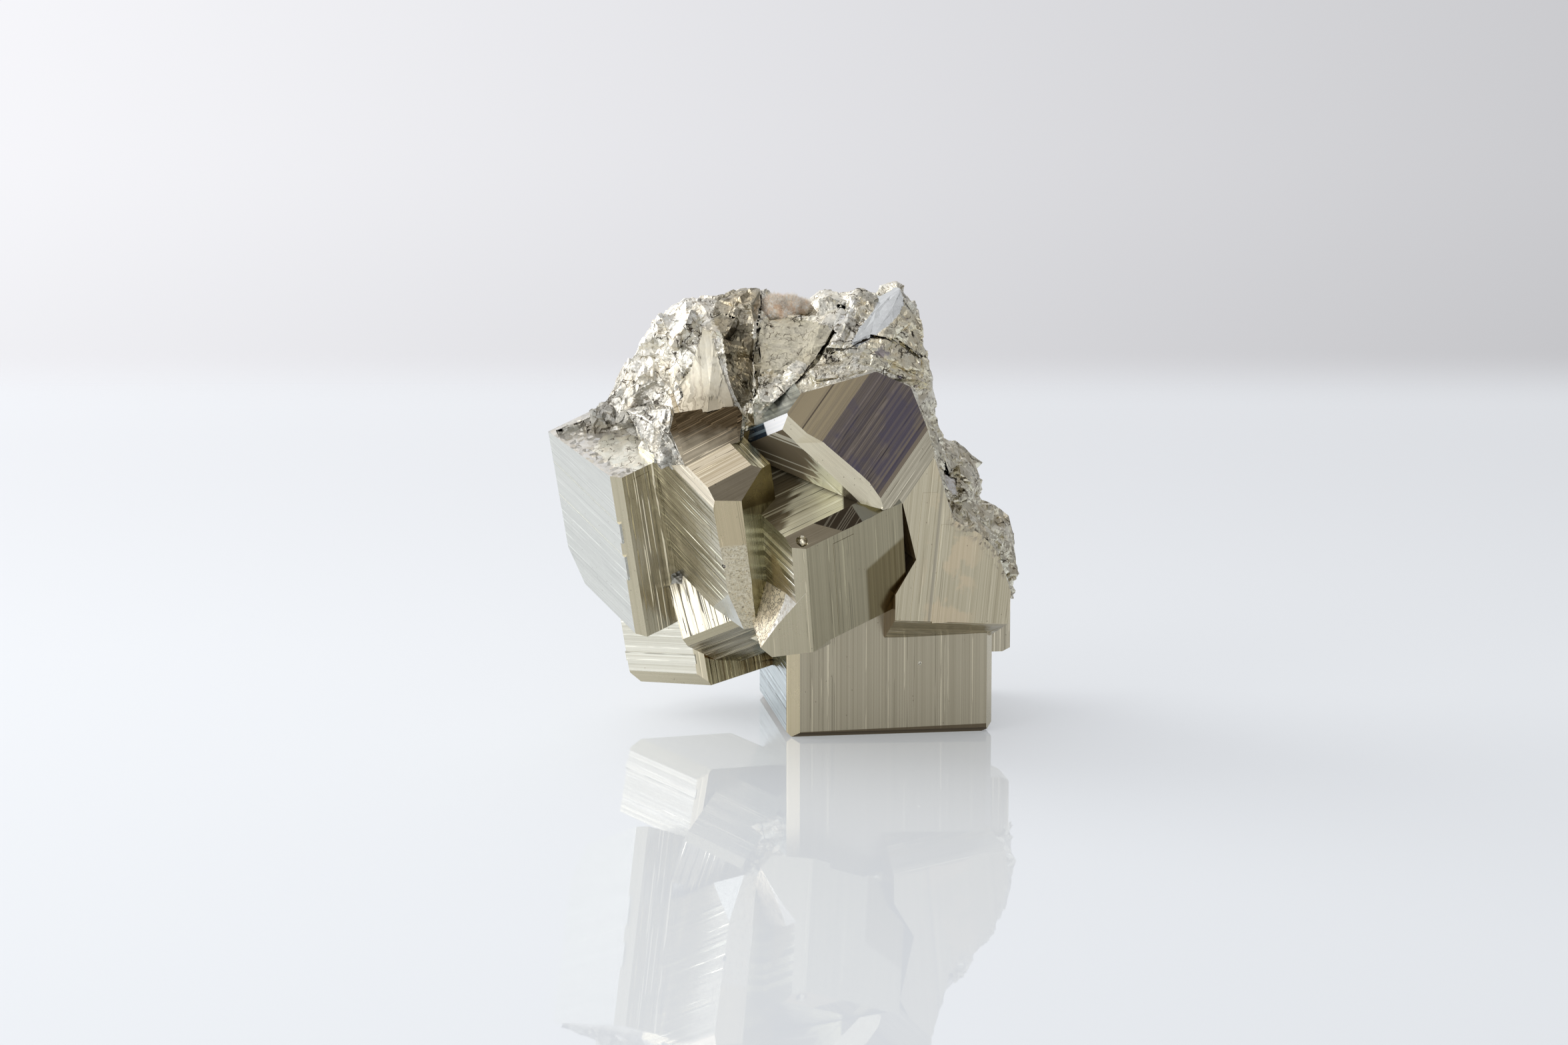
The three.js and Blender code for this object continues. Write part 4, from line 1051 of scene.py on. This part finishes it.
def patches(sh):
    """The right crystal's front: yellow tarnish, and a pitted band under its broken edge."""
    yellow = sh.noise(0.22, 4.0).smooth(0.44, 0.52) * abs(sh.across - 8.5).smooth(6.0, 2.0)
    sh.tint(yellow * 0.45, YELLOW)
    sh.tint(abs(sh.across - 5.5).smooth(0.35, 0.1, 0.0, 0.7), GREY_GROOVE)
    beyond = sh.math("MAXIMUM", sh.across - 7.8, 0.0)
    edge = beyond * 0.3 + beyond * beyond * 0.06 - 15.7
    pitted = (sh.along + edge).smooth(-2.2, -0.5) * sh.across.smooth(6.5, 8.5)
    pitted = pitted * sh.noise(1.5).smooth(0.46, 0.54)
    sh.tint(pitted * 0.7, PITS)
    sh.grains(3.0, 1.1, pitted)


def painted_reflection_patch(sh):
    """The front crystal's face, darker and browner in a patch by its right edge: a painted reflection of
    the next crystal's dark side.
    """
    below = (sh.along - sh.across * 0.42).smooth(6.3, 5.4)
    brown = sh.mix(sh.bands(4.0)[0] * 0.5, *PAINTED_REFLECTION_BROWN)
    sh.tint(sh.across.smooth(9.6, 10.3) * below * 0.8, brown)


def chalk(sh):
    """A rough white edge."""
    sh.tint(sh.noise(1.8, 4.0).smooth(0.45, 0.6) * 0.6, DULL_CHALK)
    sh.grains(3.5, 0.9)


def corner_shade(sh):
    """The front crystal's top: painted shade in its far left corner, dark brown with bright lines, and a
    painted shadow, dark, at its right end."""
    into = sh.at("y", "front") - sh.at("x", "front") * 0.9 + sh.bands(1.8)[1] * 2.0
    brown = sh.mix(sh.bands(3.4)[0] > 0.86, *PAINTED_SHADE_CORNER)
    sh.tint(into.smooth(5.6, 7.2) * 0.9, brown)
    sh.tint(sh.at("x").smooth(8.2, 8.5), PAINTED_SHADOW_BY_NOTCH)


def painted_shadow_end(sh):
    """The front crystal's bevel: a painted shadow at its right end, dark with pale lines, and a grey
    painted reflection at the tip.
    """
    x, y = sh.at("x", "front"), sh.at("y", "front")
    lined = sh.mix(sh.bands(3.0, x - y * 2.0)[0] > 0.78, *PAINTED_SHADOW_BEVEL)
    sh.tint((x + y * 1.2).smooth(6.3, 6.5), sh.mix(x.smooth(9.7, 9.9), lined, PAINTED_REFLECTION_TIP))


def two_greens(sh):
    """The middle crystal's cut: darker above, paler below."""
    sh.tint(sh.at("z").smooth(38.4, 38.8), DARK_GREEN)


def painted_foot_shadow(sh):
    """The base crystal's front: a painted shadow, a dark band along its foot, higher towards the right.
    """
    above = sh.at("z") - (sh.at("x") * 0.018 + 0.72)
    sh.tint(above.smooth(0.10, -0.02, 0.0, 0.9), PAINTED_SHADOW_FOOT)


def smooth_below(sh):
    """The front crystal's left side: striated above, smooth and tan below a slanting line."""
    y, z = sh.at("y", "front"), sh.at("z", "front")
    below = (z - y * 1.07).smooth(9.0, 8.4) * y.smooth(7.4, 6.6) * 0.85
    streaks = sh.bands(1.1)
    sh.tint(streaks[2].smooth(0.45, 0.6, 0.0, 0.75), GREEN_STREAKS)
    sh.tint(streaks[0] > 0.8, WHITE_LINES)
    sh.tint(below, sh.mix(sh.noise(0.5, 4.0), *SMOOTH_TAN))
    sh.normal = sh.attribute("shading") * below + sh.normal


def branches(sh):
    """A brown film with dark branching growths, its front edge rough and white."""
    sh.tint(abs(sh.noise(1.1, 6.0, 0.7) - 0.5).smooth(0.035, 0.01), BRANCHES)
    sh.tint(sh.noise(0.5).smooth(0.5, 0.62) * 0.5, FILM_BLOTS)
    edge = (sh.at("y", "foot") + sh.noise(1.6) * 0.8).smooth(3.7, 3.3)
    sh.tint(edge, sh.mix(sh.cells(3.5)[0], *WHITE_EDGE))
    sh.grains(3.5, 0.8, edge)


CELLS = (0.38, 1.15, 4.2)   # the rock's shaded facets per millimetre
FLECKS = (0.4, 0.6)         # how strongly the two larger sizes change the colour
# Cracks: how close, how wide, how bent, how seldom, and their colour.
CRACKS = (
    (0.85, 0.055, 0.8, 0.50, (0.24, 0.20, 0.14)),
    (0.26, 0.028, 1.6, 0.50, (0.05, 0.038, 0.024)),
)
UNCRACKED = ("blade", "flame")
# The warmer and the dark places: their noise, and the values that they start and end at.
WARM_NOISE, WARM_AT = (0.2, 4.0), (0.5, 0.66)
DARK_NOISE, DARK_AT = (0.55, 6.0, 0.65), (0.34, 0.42)


def rocky(name):
    rock = Rock(*ROCK[name])
    sh = Surface(name)
    cells = [sh.cells(scale)[1] for scale in CELLS]
    for random, tilt in zip(cells, rock.leans):
        sh.normal = sh.normal + (random - HALF) * tilt
    fleck = sh.split(cells[1])[0] * FLECKS[1] + sh.split(cells[0])[0] * FLECKS[0]
    sh.base = sh.mix(fleck, rock.low, rock.high)
    sh.tint(sh.noise(*WARM_NOISE).smooth(*WARM_AT, 0.0, rock.warm), WARM_ROCK)
    sh.tint(sh.noise(*DARK_NOISE).smooth(*DARK_AT, rock.dark, 0.0), DARK_ROCK)
    if name not in UNCRACKED:
        cracks(sh)
    sh.roughness = sh.split(cells[0])[1].smooth(0.0, 1.0, *rock.rough)
    return sh.complete({})


def cracks(sh):
    """Fine cracks that come and go: a close net of thin brown ones, and long dark ones."""
    bend = sh.noise(0.9, output="Color") - HALF
    for scale, wide, bends, often, tone in CRACKS:
        inputs = {"Vector": sh.place + bend * bends, "Scale": scale}
        away = sh.out("TexVoronoi", inputs, "Distance", feature="DISTANCE_TO_EDGE")
        comes = sh.noise(scale * 0.85, 2.0).smooth(often, often + 0.08)
        sh.tint(away.smooth(wide, wide / 3) * comes, tone)


def fissured(sh):
    """The long fissures, dark, and of uneven width."""
    side, near, _ = sh.split(sh.attribute("fissure"))
    away = abs(side + (sh.noise(0.7, 4.0, 0.6) - 0.5) * 0.8)
    width = sh.noise(0.4, 2.0).smooth(0.35, 0.65, 0.02, 0.13)
    sh.tint((away < width) * near.smooth(0.05, 0.3), FISSURE)


def violet_stains(sh):
    """Violet stains on the golden facets."""
    sh.tint(sh.noise(0.35).smooth(0.60, 0.68, 0.0, 0.65), VIOLET_STAIN)


def painted_light_above(sh):
    """The silvery rock, painted darker below and brighter above: painted light and shade."""
    sh.base = sh.base * sh.at("z").smooth(46.0, 60.0, 0.64, 1.3)


def facet_rim(sh):
    """The tall crystal's broken top: even in its middle, rough and white around that."""
    x = (sh.at("x", "tall") - 5.2) / 3.6
    y = (sh.at("y", "tall") - 6.0) / 6.8
    rim = (x * x + y * y + sh.noise(0.4, 4.0) * 2.4).smooth(2.0, 2.2)
    sh.tint(rim, sh.mix(sh.split(sh.cells(1.4)[1])[0], *FACET_RIM))
    sh.grains(1.4, 0.6, rim)


def flame_ribs(sh):
    """Fine upright ribs, parted and wavy towards the bottom, with painted shade at the foot and in the
    gaps between ribs.
    """
    z = sh.at("z")
    low = z.smooth(57.0, 52.0)
    bend = (sh.noise(0.6, 2.0) - 0.5) * (low * 3.0 + 0.5)
    ribs = sh.bands(3.4, sh.at("x") + (z - 60.0) * 0.12 + bend)
    sh.normal = sh.normal + sh.scaled(AXES["x"], (ribs[0] - 0.5) * 0.7) + FLAME_LEAN
    sh.tint(low * 0.85, PAINTED_SHADE_FLAME_FOOT)
    sh.tint((ribs[1] < 0.17) * (low * 0.3 + 0.5), sh.mix(low, *PAINTED_SHADE_FLAME_GAPS))


# What is done to a finish beyond its colours and bands.
OVERLAYS = {
    "glint": blue_end, "pocket": pocket_painted_shade, "umber": ledge_fade, "tarnished": tarnish,
    "sandy": sand, "patchy": patches, "shadowed": painted_reflection_patch, "chalky": chalk,
    "dendrite": branches, "lime": corner_shade, "smoky": painted_shadow_end, "crevice": two_greens,
    "moss": smooth_below, "resting": painted_foot_shadow, "golden": violet_stains,
    "silver": painted_light_above, "facet": facet_rim, "flame": flame_ribs,
}


def pyrite_piece():
    faces = node_faces("pyrite_cluster")
    recognise(faces)
    whole = joined_faces([part_of(faces, faces.finish != "broken"), hackled(faces)])
    obj = mesh_object("pyrite_specimen", whole)
    give_grain(obj, whole)
    names = sorted(set(whole.finish))
    for name in names:
        obj.data.materials.append(rocky(name) if name in ROCK else striated(name))
    index = np.array([names.index(name) for name in whole.finish], np.int32)
    obj.data.polygons.foreach_set("material_index", index)
    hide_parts("pyrite_cluster")
    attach(obj, "root")


# The tuft and the crust: the longest edge of each, the sizes and heights of its bumps, and its
# two colours and that of its stains.
TUFT_EDGE = 0.3
TUFT_BUMPS = ((1.1, 0.25), (0.45, 0.12))
TUFT_COLOURS = ((0.98, 0.86, 0.70), (1.0, 0.98, 0.93), (0.95, 0.75, 0.56))
CRUST_EDGE = 0.25
CRUST_BUMPS = ((0.8, 0.22), (0.35, 0.10))
CRUST_COLOURS = ((0.70, 0.67, 0.62), (0.90, 0.89, 0.87), (0.48, 0.42, 0.34))
BUMP_SEED = HACKLE_SEED + 20
BUMPS_VARY = 0.4
SOFTNESS = 0.1
NEEDLES = 4200
NEEDLE_LENGTH = (0.35, 1.0)
NEEDLE_RADIUS = 0.028
NEEDLE_SPREAD = 0.55            # how far they lean from the surface's own direction
NEEDLES_UP = 0.5                # they grow where the surface faces up, or down by less
NEEDLE_SEED = 5


def roughened(name, longest, bumps):
    """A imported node's surface, made fine and given bumps."""
    faces = node_faces(name)
    faces = Faces(*split_long(faces.points, faces.triangles, longest))
    height = np.zeros(len(faces.points))
    for i, (size, rise) in enumerate(bumps):
        middle, value = cell_noise(faces.points, size, BUMP_SEED + i)
        away = np.linalg.norm(faces.points - middle, axis=1) / size
        height += rise * (BUMPS_VARY * value[:, 0] - away)
    faces.points = faces.points + units(faces.summed(faces.normals())) * height[:, None]
    return faces


def needles(faces, rng):
    """Thin upright needles growing out of a surface."""
    areas = np.linalg.norm(faces.crosses(), axis=1)
    upward = np.clip(faces.normals()[:, 2] + NEEDLES_UP, 0, 1)
    chosen = rng.choice(len(areas), NEEDLES, p=areas * upward / (areas * upward).sum())
    share = rng.dirichlet((1, 1, 1), NEEDLES)
    foot = (faces.points[faces.triangles[chosen]] * share[:, :, None]).sum(axis=1)
    way = units(faces.normals()[chosen] + rng.normal(0, NEEDLE_SPREAD, (NEEDLES, 3)))
    tip = foot + way * rng.uniform(*NEEDLE_LENGTH, NEEDLES)[:, None]
    side = np.cross(way, rng.normal(0, 1, (NEEDLES, 3)))
    side *= NEEDLE_RADIUS / np.linalg.norm(side, axis=1, keepdims=True)
    other = np.cross(way, side)
    ring = [foot + np.cos(a) * side + np.sin(a) * other for a in np.radians([0, 120, 240])]
    points = np.stack([*ring, tip], axis=1).reshape(-1, 3)
    first = np.arange(NEEDLES)[:, None, None] * 4
    triangles = (first + np.array([[0, 1, 3], [1, 2, 3], [2, 0, 3]])).reshape(-1, 3)
    return Faces(points, triangles)


def powdery(name, low, high, stain):
    """A dull pale mineral: its two colours, and the colour of its stains."""
    sh = Shader(name)
    grain = sh.noise(3.0, 5.0, 0.65)
    base = sh.mix(grain.smooth(0.35, 0.65), low, high)
    base = sh.mix(sh.noise(0.7).smooth(0.47, 0.62) * 0.8, base, stain)
    bump = sh.out("Bump", {"Strength": 0.5, "Distance": 0.0002, "Height": grain})
    return sh.finish(sh.node("BsdfPrincipled", {
        "Base Color": base, "Roughness": grain.smooth(0.3, 0.7, 0.6, 0.9), "Normal": bump,
        "Subsurface Weight": SOFTNESS, "Subsurface Scale": 0.0006,
        "Subsurface Radius": (1.0, 0.7, 0.6),
    }))


def tuft_piece():
    core = roughened("pale_tuft", TUFT_EDGE, TUFT_BUMPS)
    whole = joined_faces([core, needles(core, np.random.default_rng(NEEDLE_SEED))])
    obj = mesh_object("tuft", whole)
    obj.data.materials.append(powdery("tuft_pinkish", *TUFT_COLOURS))
    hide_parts("pale_tuft")
    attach(obj, "root")


def crust_piece():
    obj = mesh_object("crust", roughened("white_crust", CRUST_EDGE, CRUST_BUMPS))
    obj.data.materials.append(powdery("crust_white", *CRUST_COLOURS))
    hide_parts("white_crust")
    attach(obj, "root")


# The floor, the light and the view, in metres.

FLOOR_BACK = (0.33, 0.43)     # where the table ends, softly
FLOOR_HALF = 1.6
FLOOR_DROP = 0.0001           # it lies this far below the specimen
FLOOR_NEAR = (0.675, 0.70, 0.72)
# Painted shade: the table's colour is darker at the back.
FLOOR_FAR_PAINTED_SHADE = (0.54, 0.555, 0.575)
# The windows: where, how large and how strong.
LIGHTS = {
    "window_left": ((-1.1, 0.45, 0.55), (1.0, 0.8), 7.0),
    "window_front_left": ((-0.8, -0.7, 0.6), (0.5, 0.5), 1.6),
}
LIGHT_TINT = (1, 0.99, 0.97)
LIT_POINT = (0, 0, 0.03)
# The studio's light: its mean, how much brighter the left is, and how quickly that changes.
STUDIO, LEFT_BRIGHTER, SIDE_CHANGE = 0.775, 0.45, 2.2
STUDIO_TINT = (0.985, 0.985, 1.02, 1)


def floor_material():
    sh = Shader("table_white")
    y = sh.split(sh.out("TexCoord", output="Object"))[1]
    top = sh.out("BsdfPrincipled", {
        "Base Color": sh.mix(y.smooth(0.0, 0.30), FLOOR_NEAR, FLOOR_FAR_PAINTED_SHADE),
        "Roughness": 0.015, "IOR": 1.5, "Specular Tint": (0.84, 0.93, 1.0, 1),
        "Specular IOR Level": y.smooth(-0.20, -0.02, 0.33, 0.5),
        # A faint glow over the whole table: painted light that brightens it.
        "Emission Color": (0.96, 1.0, 1.03, 1), "Emission Strength": 0.225,
    })
    ends = {0: y.smooth(*FLOOR_BACK), 1: top, 2: sh.out("BsdfTransparent")}
    return sh.finish(sh.node("MixShader", ends))


def build_floor():
    x, back = FLOOR_HALF, FLOOR_BACK[1] + 0.01
    mesh = bpy.data.meshes.new("table")
    mesh.from_pydata([(-x, -x, 0), (x, -x, 0), (x, back, 0), (-x, back, 0)], [], [(0, 1, 2, 3)])
    mesh.materials.append(floor_material())
    obj = placed("table", mesh, (0, 0, -FLOOR_DROP))


def build_world():
    """A pale studio: brighter on the left, its ceiling dimmer towards the viewer."""
    world = bpy.data.worlds.new("studio")
    bpy.context.scene.world = world
    sh = Shader(world=world)
    x, y, z = sh.split(sh.out("TexCoord", output="Generated"))
    level = STUDIO - sh.math("TANH", x * SIDE_CHANGE) * LEFT_BRIGHTER
    level = level * (1.0 - z.smooth(0.35, 0.85) * y.smooth(0.15, -0.35, 0.05, 0.55))
    level = level * z.smooth(-0.14, -0.085, 0.94, 1.0)
    sh.finish(sh.node("Background", {"Color": STUDIO_TINT, "Strength": level}))


def build_lights():
    for name, (at, size, power) in LIGHTS.items():
        data = bpy.data.lights.new(name, "AREA")
        data.shape = "RECTANGLE"
        data.size, data.size_y = size
        data.energy = power
        data.color = LIGHT_TINT
        obj = placed(name, data, at)
        aim = Vector(LIT_POINT) - Vector(at)
        obj.rotation_euler = aim.to_track_quat("-Z", "Y").to_euler()
        obj.visible_camera = False


def build_camera():
    data = bpy.data.cameras.new("view")
    data.lens = LENS
    data.sensor_width = SENSOR
    data.clip_end = 20
    obj = placed("view", data, CAMERA_AT)
    obj.rotation_euler = (math.radians(90 - CAMERA_DOWN), 0, 0)
    bpy.context.scene.camera = obj


bpy.context.scene.view_settings.view_transform = "Standard"
build_camera()
build_world()
build_lights()
build_floor()
pyrite_piece()
tuft_piece()
crust_piece()
